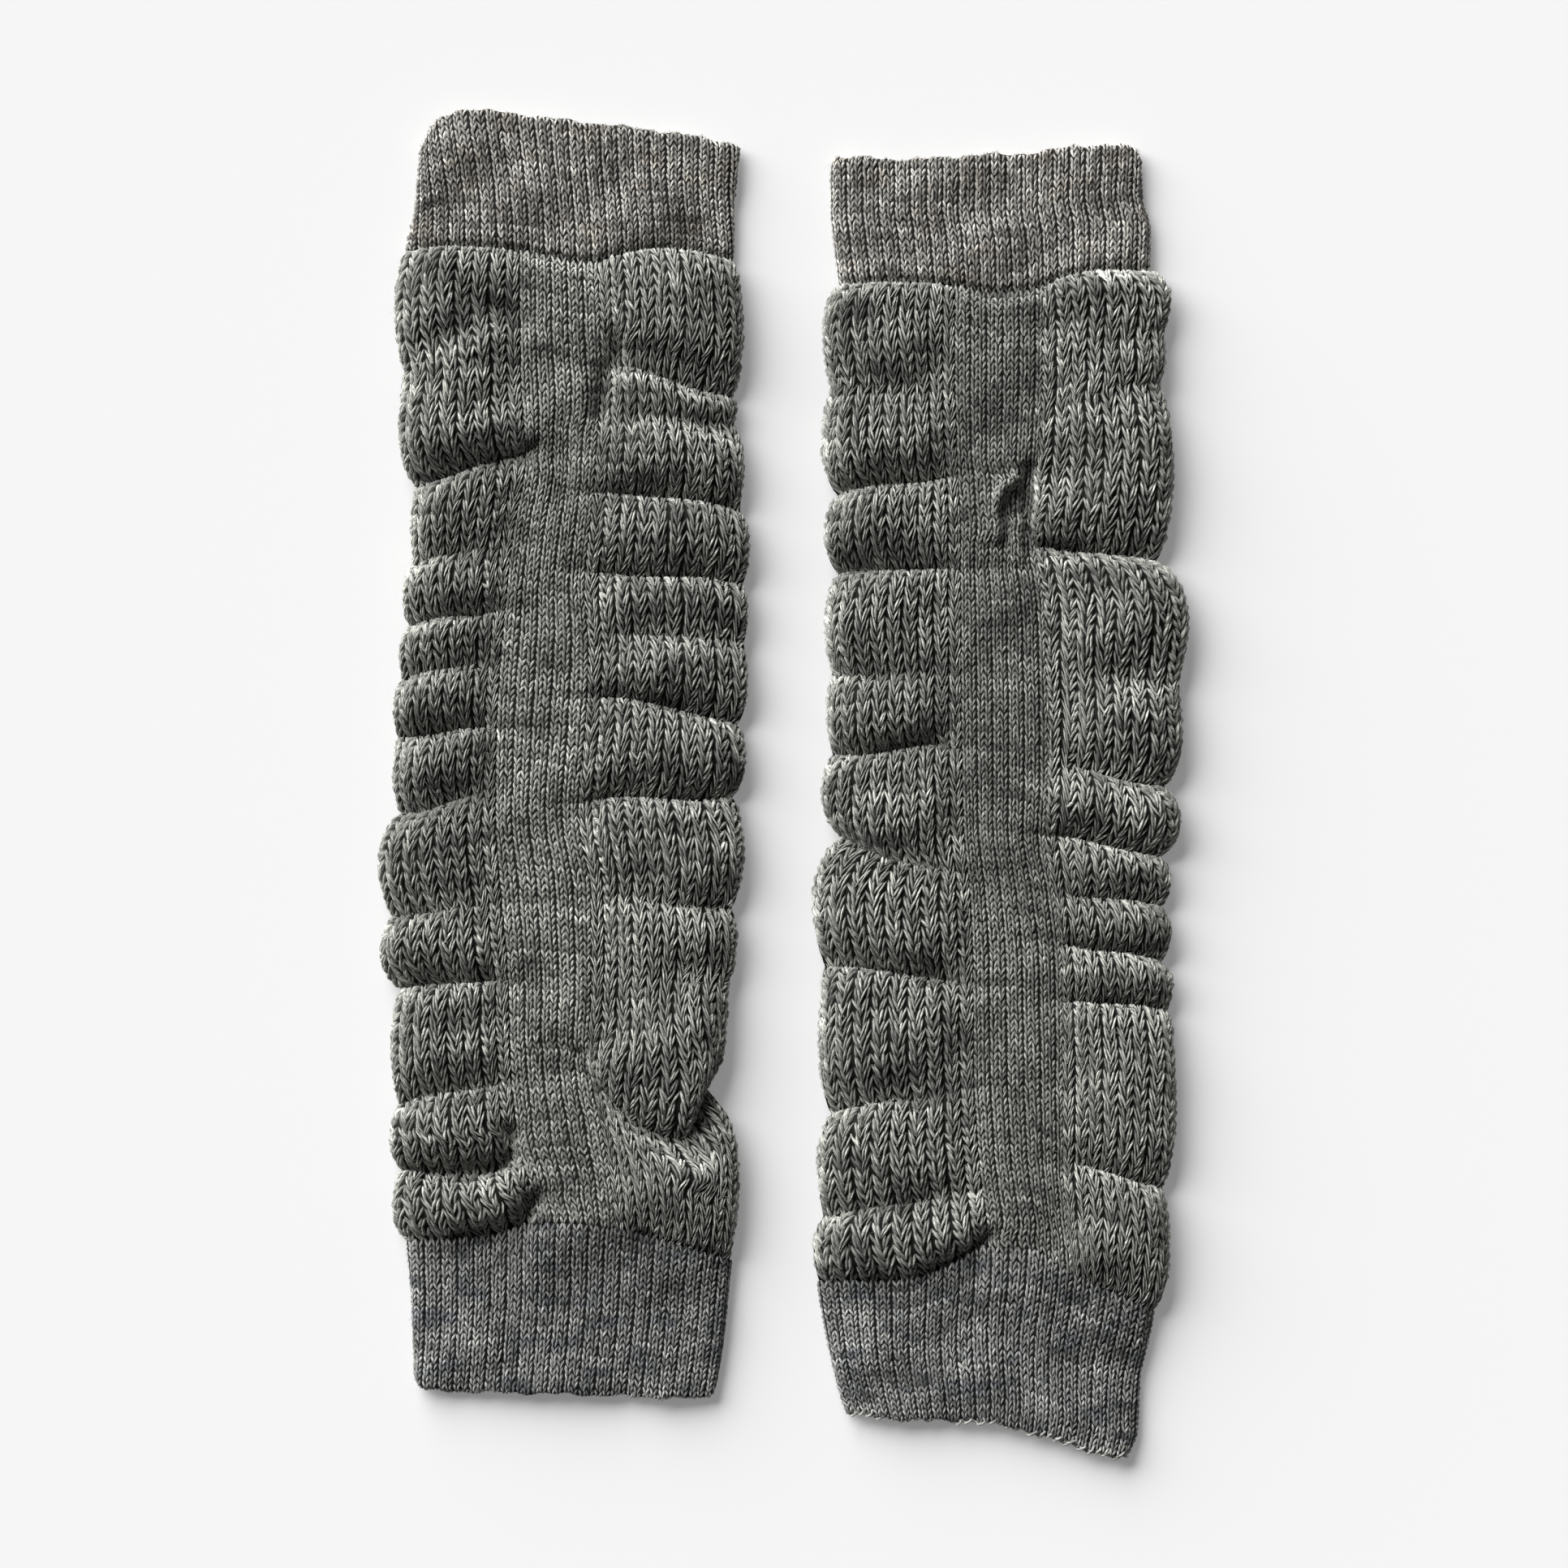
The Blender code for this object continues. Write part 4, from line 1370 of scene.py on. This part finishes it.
    def _legs(
        self, rng: np.random.Generator, wale: Array, course: Array, flip: Array, tones: Array,
        mesh: tuple[int, int], strands: int,
    ) -> YarnPart:
        """Legs of stitches at one level of detail.

        Args:
            rng: source of the random draws.
            wale: middle of each leg's stitch, in wales.
            course: middle of each leg's stitch, in courses.
            flip: side of its V that each leg is on, as a sign.
            tones: tone of each leg.
            mesh: points across and along one strand.
            strands: strands of a leg.

        Returns:
            The legs, a strand at a time.
        """
        grid, gauge = self.grid, self.gauge
        t_wale, t_course, t_height, t_across, t_along, quads = self._template(mesh, strands)
        shift = np.tile(np.arange(strands) - (strands - 1) / 2, len(wale))[:, None]
        shift = shift * STITCH.strand_spacing * gauge.leg_width / gauge.wale
        wale, course, flip, tones = (np.repeat(a, strands) for a in (wale, course, flip, tones))
        count, size = len(wale), len(t_wale)
        noise = np.clip(rng.normal(size=(6, count, 1)), -STITCH.most_noise, STITCH.most_noise)
        jitter = gauge.jitter
        stretch = 1 + STITCH.stretch_noise * noise[0]
        widened = (t_wale - STITCH.middle) * (1 + STITCH.width_noise * noise[1])
        local = STITCH.middle + widened + STITCH.lean_noise * noise[2] * t_course
        local = local + shift * (1 + STITCH.strand_noise * noise[5] * t_course)
        pair = gauge.pairing * np.where(wale.astype(int) % 2 == 0, 1.0, -1.0)
        pair = pair + gauge.drift * self.drifts[wale.astype(int)]
        at_wale = (wale + pair)[:, None] + flip[:, None] * local + jitter * 0.5 * noise[3]
        at_course = course[:, None] + t_course * stretch + jitter * noise[4]
        points, normals = grid.at(at_wale, at_course)
        beside = np.minimum(wale, grid.wales - wale)
        lower = 1 - STITCH.seam_lowering * grid.tight * np.exp(-((beside / FORM.seam_reach) ** 2))
        lift = t_height * (1 + STITCH.height_noise * noise[0]) * lower[:, None]
        ridge = (0.5 + 0.5 * np.cos(math.pi * (at_wale - STITCH.rib_at))) ** STITCH.rib_sharpness
        lift = lift + gauge.rib * ridge * (normals[..., 2] > STITCH.rib_facing)
        points = points + normals * lift[..., None]
        quads = quads[None] + (np.arange(count) * size)[:, None, None]
        turned = flip[:, None, None] * grid.outward > 0
        quads = np.where(turned, quads, quads[..., ::-1]).reshape(-1, 4)
        seeds = rng.random(count)
        tones = np.clip(tones * (1 + gauge.strand_tone * rng.normal(size=count)), *STITCH.tones)
        # painted shade: each strand's lower parts are darkened towards the cloth, as shade would fall
        # there
        depth = (t_height - t_height.min()) / (t_height.max() - t_height.min())
        tones = tones[:, None] * lerp(gauge.depth_tone, 1.0, depth)
        yarn = np.stack([np.tile(t_across, count), np.tile(t_along, count)], axis=1)
        cell = yarn / np.array([1.0, t_along.max()])
        return YarnPart(
            points.reshape(-1, 3), quads, yarn, tones.ravel(), np.repeat(seeds, size), cell,
            count, size,
        )


@dataclass
class KnitPiece:
    """One knitted piece of a leg warmer: a thin base cloth and the stitches on it."""

    leg: Leg
    node: str
    slot: str
    gauge: Gauge
    yarn: HeatherYarn
    held: Held
    seed: int
    rests_on: tuple[str, ...] = ()
    knit: KnitGrid = field(init=False)
    cloth: bpy.types.Object = field(init=False)

    def grid(self) -> KnitGrid:
        """Surface of the piece, in stitches."""
        raise NotImplementedError

    def pale_course(self) -> int | None:
        """Number of the course knitted in paler yarn, if there is one."""
        return None

    def build(self) -> None:
        """Makes the base cloth in place of the CAD node."""
        self.knit = self.grid()
        rows, columns = self.knit.points.shape[:2]
        r = np.unique(np.append(np.arange(0, rows, 2), rows - 1))
        c = np.unique(np.append(np.arange(0, columns, 2), columns - 1))
        points = self.knit.points[np.ix_(r, c)]
        v, u = np.meshgrid(r / (rows - 1), c / (columns - 1), indexing="ij")
        uv = 0.02 + 0.96 * np.stack([u.ravel(), v.ravel()], axis=1)
        quads = grid_quads(len(r), len(c))
        if self.knit.outward > 0:
            quads = quads[:, ::-1]
        name = f"{self.node}_cloth"
        mesh = new_mesh(name, points.reshape(-1, 3) * MM, quads, {"OFBake": uv})
        # the base cloth is painted dark as the shade between the stitches
        mesh.materials.append(self.yarn.ground(f"{self.node}_ground"))
        self.cloth = bpy.data.objects.new(name, mesh)
        bpy.context.scene.collection.objects.link(self.cloth)
        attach(self.cloth, "root")
        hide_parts(self.node)

    def dress(self) -> None:
        """Adds the stitches."""
        layer = StitchLayer(
            f"{self.node}_stitches", self.knit, self.gauge, self.seed, self.pale_course()
        )
        stitches = layer.build()
        stitches.data.materials.append(self.yarn.material(f"{self.node}_yarn"))
        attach(stitches, "root")


@dataclass
class SidePanel(KnitPiece):
    """A chunky side panel, from the front strip round the edge of the leg to the back strip."""

    side: Side = Side.LEFT

    def _across(self) -> tuple[Array, Array]:
        """Columns of the panel, from the front strip round the edge to the back strip.

        Returns:
            Each column's share of the way to the edge, and whether it is at the front.
        """
        level = np.linspace(0.0, FORM.corner, FORM.flat_columns)
        first = math.asin(FORM.corner ** (FORM.edge_roundness / 2))
        angles = np.linspace(first, math.pi / 2, FORM.edge_columns)[1:]
        bend = np.sin(angles) ** (2 / FORM.edge_roundness)
        front = np.concatenate([level, bend])
        across = np.concatenate([front, front[:-1][::-1]])
        return across, np.arange(len(across)) < len(front)

    def _profile(self, number: int, span: Array, rise: Array) -> tuple[Array, Array]:
        """Drop below the upper crease and height of a full puff, rows by columns.

        Args:
            number: number of the puff's upper crease.
            span: distance to the lower crease, for each column.
            rise: share of the full height that the crown has, for each column.

        Returns:
            The drops and the heights.
        """
        leg, side = self.leg, self.side
        folds = leg.panels[side][1]
        high = leg.puff_height(side, number) * FORM.fullness * rise
        depths = folds[number].depth, folds[number + 1].depth
        steep = depths[0] * (1 - folds[number].over)
        up = np.minimum(lerp(*FORM.upper_flank, steep), lerp(*FORM.upper_share, steep) * span)
        down = np.minimum(FORM.lower_flank, (FORM.most_length - lerp(*FORM.upper_share, steep)) * span)
        first = math.radians(lerp(FORM.shallow, FORM.overhang, steep))
        valleys = [
            leg.crease_height(side, number + k) - FORM.crease_dip * depths[k] for k in (0, 1)
        ]
        valleys[0] = lerp(valleys[0], FORM.over_fill * high, folds[number].over)
        rising = np.linspace(first, math.pi / 2, FORM.flank_rows)[:, None]
        falling = np.linspace(0.0, 1.0, FORM.flank_rows)[:, None]
        top_drop = up * (1 - np.cos(rising)) + FORM.edge_shift * steep
        top_z = lerp(valleys[0], high, (np.sin(rising) - math.sin(first)) / (1 - math.sin(first)))
        low_drop = span - down * (1 - falling)
        fall = lerp(FORM.fall, FORM.over_fall, folds[number + 1].over)
        low_z = lerp(high, valleys[1], lerp(ease(falling), falling**fall, depths[1]))
        level = np.linspace(0.0, 1.0, FORM.level_rows)[1:-1, None]
        middle = lerp(top_drop[-1], low_drop[0], level)
        drop = np.concatenate([top_drop, middle, low_drop])
        z = np.concatenate([top_z, high + np.zeros_like(middle), low_z])
        return drop, z

    def _puff(self, number: int) -> Array:
        """Surface of one puff.

        Args:
            number: number of the puff's upper crease.

        Returns:
            The points, rows by columns by 3.
        """
        leg, side = self.leg, self.side
        folds = leg.panels[side][1]
        across, front = self._across()
        upper_y = leg.crease_y(side, number, across)
        span = upper_y - leg.crease_y(side, number + 1, across)
        rise = lerp(FORM.crown_start, 1.0, ease(across / FORM.crown_at))
        drop, full = self._profile(number, span, np.where(front, rise, 1.0))
        share = np.clip(drop / span, 0.0, 1.0)
        full = full * (1 - FORM.crown * (1 - np.sin(math.pi * share)))
        full_at = lerp(*FORM.full_at, lerp(folds[number].depth, folds[number + 1].depth, share))
        behind = ease((across - FORM.edge_start) / (1 - FORM.edge_start))
        arch = np.where(front, ease(across / full_at), behind)
        drop = lerp(span * share, drop, arch)
        plain = FORM.strip_share * leg.plain_height(side, number, share)
        height = lerp(plain, full, np.where(front, arch, 1.0))
        y = upper_y - drop
        swell = np.sin(math.pi * share) ** FORM.edge_swell
        reach = lerp(folds[number].crease_reach, folds[number + 1].crease_reach, share)
        reach = lerp(reach, folds[number].puff_reach, swell)
        reach = reach - self.gauge.leg_height * FORM.stitch_inset
        sign = side.value
        start = leg.strip_edge(side, y[:, :1]) - sign * FORM.seam_lap
        x = lerp(start, sign * reach, across)
        x = x + folds[number].lean * np.sin(2 * math.pi * share) * np.sin(math.pi * across)
        roll = np.sqrt(np.clip(1 - across**FORM.edge_roundness, 0, 1))
        puff = leg.puff_height(side, number)
        middle = FORM.edge_height + FORM.edge_lift * np.maximum(height, 0)
        top = FORM.crease_top + height - self.gauge.sink
        top = top - FORM.outer_fall * across**2
        ripple = FORM.ripple * ease(across / FORM.relief_start)
        top = kept_over(top + leg.relief(x, y, ripple), FORM.least_top)
        steep = FORM.groove_steepness * np.clip(height / puff, 0, 1)
        floor = FORM.groove * np.clip(1 - steep, 0, 1) + self.gauge.clearance
        z = lerp(middle, np.where(front, top, floor), roll)
        return np.stack([leg.axis + x, y, z], axis=2)

    def grid(self) -> KnitGrid:
        """Surface of the panel, in stitches.

        Returns:
            The grid, with all puffs one below the other.
        """
        puffs = [self._puff(n) for n in range(len(self.leg.panels[self.side][1]) - 1)]
        points = np.concatenate([puffs[0]] + [puff[1:] for puff in puffs[1:]])
        return KnitGrid.of(points, self.gauge, self.side.value * -1, FORM.seam_tight)


@dataclass
class Strip(KnitPiece):
    """A fine-knit strip down the middle of the front or of the back."""

    face: Face = Face.FRONT
    end_dip: float = 1.9
    end_length: float = 4.0
    ripple_share: float = 0.7
    rows: int = 500
    columns: int = 30
    seam_passes: int = 6

    def grid(self) -> KnitGrid:
        """Surface of the strip, in stitches.

        Returns:
            The grid, which runs from the top seam to the bottom one.
        """
        leg = self.leg
        along = np.linspace(0.0, 1.0, self.rows)[:, None]
        across = np.linspace(0.0, 1.0, self.columns)[None, :]
        edges = []
        for side in Side:
            x = np.zeros_like(along)
            for _ in range(self.seam_passes):
                top = leg.top.seam_y(x) - SEAM_GAP / 2
                bottom = leg.bottom.seam_y(x) + SEAM_GAP / 2
                y = lerp(top, bottom, along)
                x = leg.strip_edge(side, y) - side.value * SEAM_GAP / 2
            edges.append(x)
        x = lerp(edges[0], edges[1], across)
        top = leg.top.seam_y(x) - SEAM_GAP / 2
        bottom = leg.bottom.seam_y(x) + SEAM_GAP / 2
        y = lerp(top, bottom, along)
        if self.face is Face.BACK:
            z = np.full_like(x, self.gauge.clearance)
            return KnitGrid.of(np.stack([leg.axis + x, y, z], axis=2), self.gauge, 1)
        swell = lerp(leg.height_at_strip(Side.LEFT, y), leg.height_at_strip(Side.RIGHT, y), across)
        z = FORM.crease_top + FORM.strip_share * swell - self.gauge.sink
        z = z + FORM.strip_crown * 4 * across * (1 - across)
        edge = ease(np.minimum(across, 1 - across) / FORM.relief_start)
        z = z + leg.relief(x, y, self.ripple_share * FORM.ripple * edge)
        z = kept_over(z - self.end_dip * (1 - ease((top - y) / self.end_length)), FORM.least_top)
        return KnitGrid.of(np.stack([leg.axis + x, y, z], axis=2), self.gauge, -1)


@dataclass
class Cuff(KnitPiece):
    """A plain fine-knit tube with a soft folded hem."""

    form: CuffForm = LEFT_TOP

    def pale_course(self) -> int | None:
        """Number of the course knitted in paler yarn, if there is one."""
        return self.form.pale_course

    def _round(self) -> tuple[Array, Array]:
        """Columns of the tube, round it from the middle of the back.

        Returns:
            Each column's place, from -1 at the left to 1 at the right, and whether it is in front.
        """
        form = self.form
        first = math.asin(form.corner ** (form.roundness / 2))
        angles = np.linspace(first, math.pi / 2, form.edge_columns)[1:]
        bend = np.sin(angles) ** (2 / form.roundness)
        half = np.concatenate([np.linspace(0.0, form.corner, form.flat_columns), bend])
        front = np.concatenate([-half[::-1][1:], half[1:]])
        places = np.concatenate([-half, front, half[::-1][1:]])
        number = np.arange(len(places))
        return places, (number >= len(half)) & (number < len(half) + len(front))

    def _tube(self) -> Array:
        """Outside of the tube, from the seam to the edge of the hem.

        Returns:
            The points, rows by columns by 3.
        """
        form, leg, sink = self.form, self.leg, self.gauge.sink
        places, front = self._round()
        along = np.linspace(0.0, 1.0, form.rows_along)[:, None]
        inset = form.inset * sink
        left = smooth([(row.share, row.left) for row in form.rows], along) + inset
        right = smooth([(row.share, row.right) for row in form.rows], along) - inset
        x = lerp(left, right, (places + 1) / 2)
        seam = form.seam_y(x[0]) + form.up * SEAM_GAP / 2
        hem = form.hem_y(x[-1], leg.phase) - form.up * (inset + form.hem_curl)
        y = lerp(seam, hem, along)
        roll = np.sqrt(np.clip(1 - np.abs(places) ** form.roundness, 0, 1))
        top = form.top - sink + leg.ripple(x, y, form.ripple)
        near = np.abs(y - seam)
        top = top - form.seam_dip * (1 - ease(near / form.seam_dip_length))
        top = top + smooth(form.seam_rise, x) * (1 - ease(near / form.rise_length))
        z = lerp(form.top / 2, np.where(front, top, self.gauge.clearance), roll)
        return np.stack([leg.axis + x, y, z], axis=2)

    def grid(self) -> KnitGrid:
        """Surface of the cuff, in stitches.

        Returns:
            The grid, which runs from the seam round the hem to the inside.
        """
        form = self.form
        tube = self._tube()
        last = tube[-1]
        tangent = np.roll(last, -1, axis=0) - np.roll(last, 1, axis=0)
        outward = np.stack([-tangent[:, 2], 0 * tangent[:, 0], tangent[:, 0]], axis=1)
        outward /= np.maximum(np.linalg.norm(outward, axis=1, keepdims=True), 1e-9)
        up = np.array([0.0, form.up, 0.0])
        curl = form.hem_curl
        rows = [tube]
        for angle in np.linspace(0, math.pi, form.curl_rows)[1:]:
            row = last + up * curl * math.sin(angle) - outward * curl * (1 - math.cos(angle))
            rows.append(row[None])
        rows += [(last - outward * 2 * curl - up * inside)[None] for inside in form.hem_inside]
        points = np.concatenate(rows)
        return KnitGrid.of(points[::-1] if form.up > 0 else points, self.gauge, -1)


@dataclass(frozen=True)
class RawEdge:
    """Loose pale yarn that winds along part of a cuff's hem."""

    leg: Leg
    form: CuffForm
    name: str
    strands: tuple[tuple[float, float, float], ...] = (
        (-46.0, -19.0, 0.2), (-14.0, 39.5, 0.0), (8.0, 39.0, 0.9),
    )
    radius: float = 0.38
    sides: int = 6
    pitch: float = 3.0
    step: float = 0.3
    wander: float = 0.6
    height: float = 3.8
    unevenness: float = 1.7
    uneven_length: float = 2.3
    strand_turn: float = 5.0
    strand_rise: float = 0.6
    loop_height: float = 0.5
    margin: float = 0.1
    sway: float = 0.5

    def _path(self, start: float, end: float, inside: float) -> Array:
        """Middle of one strand.

        Args:
            start: X where it starts.
            end: X where it ends.
            inside: distance inside the edge of the hem.

        Returns:
            The points along it.
        """
        x = np.arange(start, end, self.step)
        uneven = self.unevenness * np.sin(x / self.uneven_length)
        turn = 2 * math.pi * x / self.pitch + uneven + self.strand_turn * inside
        edge = self.form.hem_y(x, self.leg.phase) - self.form.up * (self.margin + inside)
        y = edge + self.wander * np.sin(turn)
        z = self.height + self.strand_rise * inside + self.loop_height * np.cos(turn)
        x = x + self.sway * self.wander * np.sin(2 * turn + 1)
        return np.stack([self.leg.axis + x, y, z], axis=1)

    def build(self, yarn: HeatherYarn, slot: str) -> bpy.types.Object:
        """Makes the strands as one mesh.

        Args:
            yarn: finish of the strands.
            slot: not used.

        Returns:
            The object.
        """
        points, quads, yarns, cells = [], [], [], []
        for number, strand in enumerate(self.strands):
            path = self._path(*strand)
            along = np.gradient(path, axis=0)
            along /= np.linalg.norm(along, axis=1, keepdims=True)
            aside = np.cross(along, [0.0, 0.0, 1.0])
            aside /= np.linalg.norm(aside, axis=1, keepdims=True)
            upward = np.cross(aside, along)
            angle = np.linspace(0.0, 2 * math.pi, self.sides + 1)[None, :, None]
            ring = np.cos(angle) * aside[:, None] + np.sin(angle) * upward[:, None]
            rings = path[:, None] + self.radius * ring
            v, u = np.meshgrid(
                np.arange(len(path)) * self.step, np.linspace(0, 1, self.sides + 1), indexing="ij"
            )
            quads.append(grid_quads(*u.shape) + sum(len(p) for p in points))
            points.append(rings.reshape(-1, 3))
            yarns.append(np.stack([u.ravel(), v.ravel()], axis=1))
            share = (number + 0.05 + 0.9 * u.ravel()) / len(self.strands)
            cells.append(np.stack([0.01 + 0.98 * v.ravel() / v.max(), share], axis=1))
        points = np.concatenate(points)
        maps = {"Yarn": np.concatenate(yarns), "OFBake": np.concatenate(cells)}
        mesh = new_mesh(self.name, points * MM, np.concatenate(quads), maps)
        for title in ("tone", "seed"):
            layer = mesh.attributes.new(title, "FLOAT", "POINT")
            layer.data.foreach_set("value", np.ones(len(points), np.float32))
        mesh.materials.append(yarn.material(f"{self.name}_yarn"))
        edge = bpy.data.objects.new(self.name, mesh)
        bpy.context.scene.collection.objects.link(edge)
        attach(edge, "root")
        log.info("%s: %d strands, %d triangles", self.name, len(self.strands), 2 * len(mesh.polygons))
        return edge


@dataclass
class LegWarmer:
    """One leg warmer: two cuffs, two strips and two side panels."""

    leg: Leg
    seed: int
    strip_yarn: HeatherYarn = NEUTRAL

    def pieces(self) -> list[KnitPiece]:
        """All pieces of the leg warmer.

        Returns:
            The pieces, from the hidden side up.
        """
        leg, name = self.leg, self.leg.name
        table: list[KnitPiece] = [
            Strip(leg, f"{name}_back_strip", "strip_knit", FINE, self.strip_yarn, Held.LAID, self.seed,
                  face=Face.BACK),
            Strip(leg, f"{name}_front_strip", "strip_knit", FINE, self.strip_yarn, Held.LAID,
                  self.seed + 1, rests_on=(f"{name}_back_strip_cloth",)),
        ]
        for number, (side, (panel, _)) in enumerate(leg.panels.items()):
            table.append(
                SidePanel(leg, f"{name}_{panel}", "chunky_knit", COARSE, DEEP, Held.GATHERED,
                          self.seed + 2 + number, side=side)
            )
        rows = ((leg.top, RIBBED, WARM), (leg.bottom, FINE, COOL))
        for number, (form, gauge, yarn) in enumerate(rows):
            table.append(
                Cuff(leg, f"{name}_{form.name}", "cuff_knit", gauge, yarn, Held.LAID,
                     self.seed + 4 + number, form=form)
            )
        return table

    def build(self) -> None:
        """Builds and dresses every piece."""
        for piece in self.pieces():
            piece.build()
            piece.dress()


@dataclass(frozen=True)
class Studio:
    """Pale surface that glows a little, a low wide sun, soft light all round, and a camera."""

    floor_size: float = 6.0
    floor_colour: tuple[float, float, float] = (0.628, 0.628, 0.628)
    floor_glow: float = 0.19
    sun_from: tuple[float, float] = (-0.8, 1.0)
    sun_elevation: float = 15.0
    sun_strength: float = 11.2
    sun_angle: float = 70.0
    sky: float = 0.11
    camera_height: float = 2.0
    view_width: float = 0.483
    sensor: float = 36.0
    view_end: float = 20.0

    def build(self) -> None:
        """Adds the surface, the light and the camera."""
        self._surface()
        self._sun()
        self._room()
        self._camera()
        log.info("studio: sun at %.0f degrees, sky %.2f", self.sun_elevation, self.sky)

    def _surface(self) -> None:
        """Adds the surface that the leg warmers lie on, which glows a little."""
        mesh = bpy.data.meshes.new("surface")
        s = self.floor_size / 2
        mesh.from_pydata([(-s, -s, 0), (s, -s, 0), (s, s, 0), (-s, s, 0)], [], [(0, 1, 2, 3)])
        board = NodeBoard("surface")
        board.shader.inputs["Base Color"].default_value = (*self.floor_colour, 1.0)
        board.shader.inputs["Roughness"].default_value = 1.0
        board.shader.inputs["Specular IOR Level"].default_value = 0.0
        board.shader.inputs["Emission Color"].default_value = (1.0, 1.0, 1.0, 1.0)
        board.shader.inputs["Emission Strength"].default_value = self.floor_glow
        mesh.materials.append(board.material)
        floor = bpy.data.objects.new("surface", mesh)
        bpy.context.scene.collection.objects.link(floor)

    def _sun(self) -> None:
        """Adds the low, wide sun from the upper left."""
        data = bpy.data.lights.new("sun", "SUN")
        data.energy = self.sun_strength
        data.angle = math.radians(self.sun_angle)
        sun = bpy.data.objects.new("sun", data)
        level = math.hypot(*self.sun_from)
        rise = level * math.tan(math.radians(self.sun_elevation))
        towards = Vector((-self.sun_from[0], -self.sun_from[1], -rise))
        sun.rotation_euler = towards.to_track_quat("-Z", "Y").to_euler()
        bpy.context.scene.collection.objects.link(sun)

    def _room(self) -> None:
        """Adds the soft light from all round."""
        world = bpy.data.worlds.new("room")
        world.use_nodes = True
        background = world.node_tree.nodes["Background"]
        background.inputs["Color"].default_value = (1.0, 1.0, 1.0, 1.0)
        background.inputs["Strength"].default_value = self.sky
        bpy.context.scene.world = world

    def _camera(self) -> None:
        """Adds the camera, straight above."""
        lens = bpy.data.cameras.new("above")
        lens.sensor_width = self.sensor
        lens.lens = self.sensor * self.camera_height / self.view_width
        lens.clip_end = self.view_end
        camera = bpy.data.objects.new("above", lens)
        camera.location = (0.0, 0.0, self.camera_height)
        bpy.context.scene.collection.objects.link(camera)
        bpy.context.scene.camera = camera
        bpy.context.scene.view_settings.view_transform = "Standard"


def main() -> None:
    """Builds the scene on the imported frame."""
    logging.basicConfig(level=logging.INFO, format="%(message)s", stream=sys.stdout)
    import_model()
    left = Leg(
        "left", -67.5, LEFT_STRIP, LEFT_TOP, LEFT_BOTTOM,
        {Side.LEFT: ("outer_panel", LEFT_OUTER_FOLDS), Side.RIGHT: ("inner_panel", LEFT_INNER_FOLDS)},
        LEFT_MARKS, 0.7,
    )
    right = Leg(
        "right", 66.5, RIGHT_STRIP, RIGHT_TOP, RIGHT_BOTTOM,
        {Side.LEFT: ("inner_panel", RIGHT_INNER_FOLDS), Side.RIGHT: ("outer_panel", RIGHT_OUTER_FOLDS)},
        RIGHT_MARKS, 2.9,
    )
    LegWarmer(left, 100).build()
    LegWarmer(right, 200, MUTED).build()
    RawEdge(right, RIGHT_BOTTOM, "right_bottom_cuff_raw_edge").build(RAW, "cuff_knit")
    Studio().build()


if __name__ == "__main__":
    main()
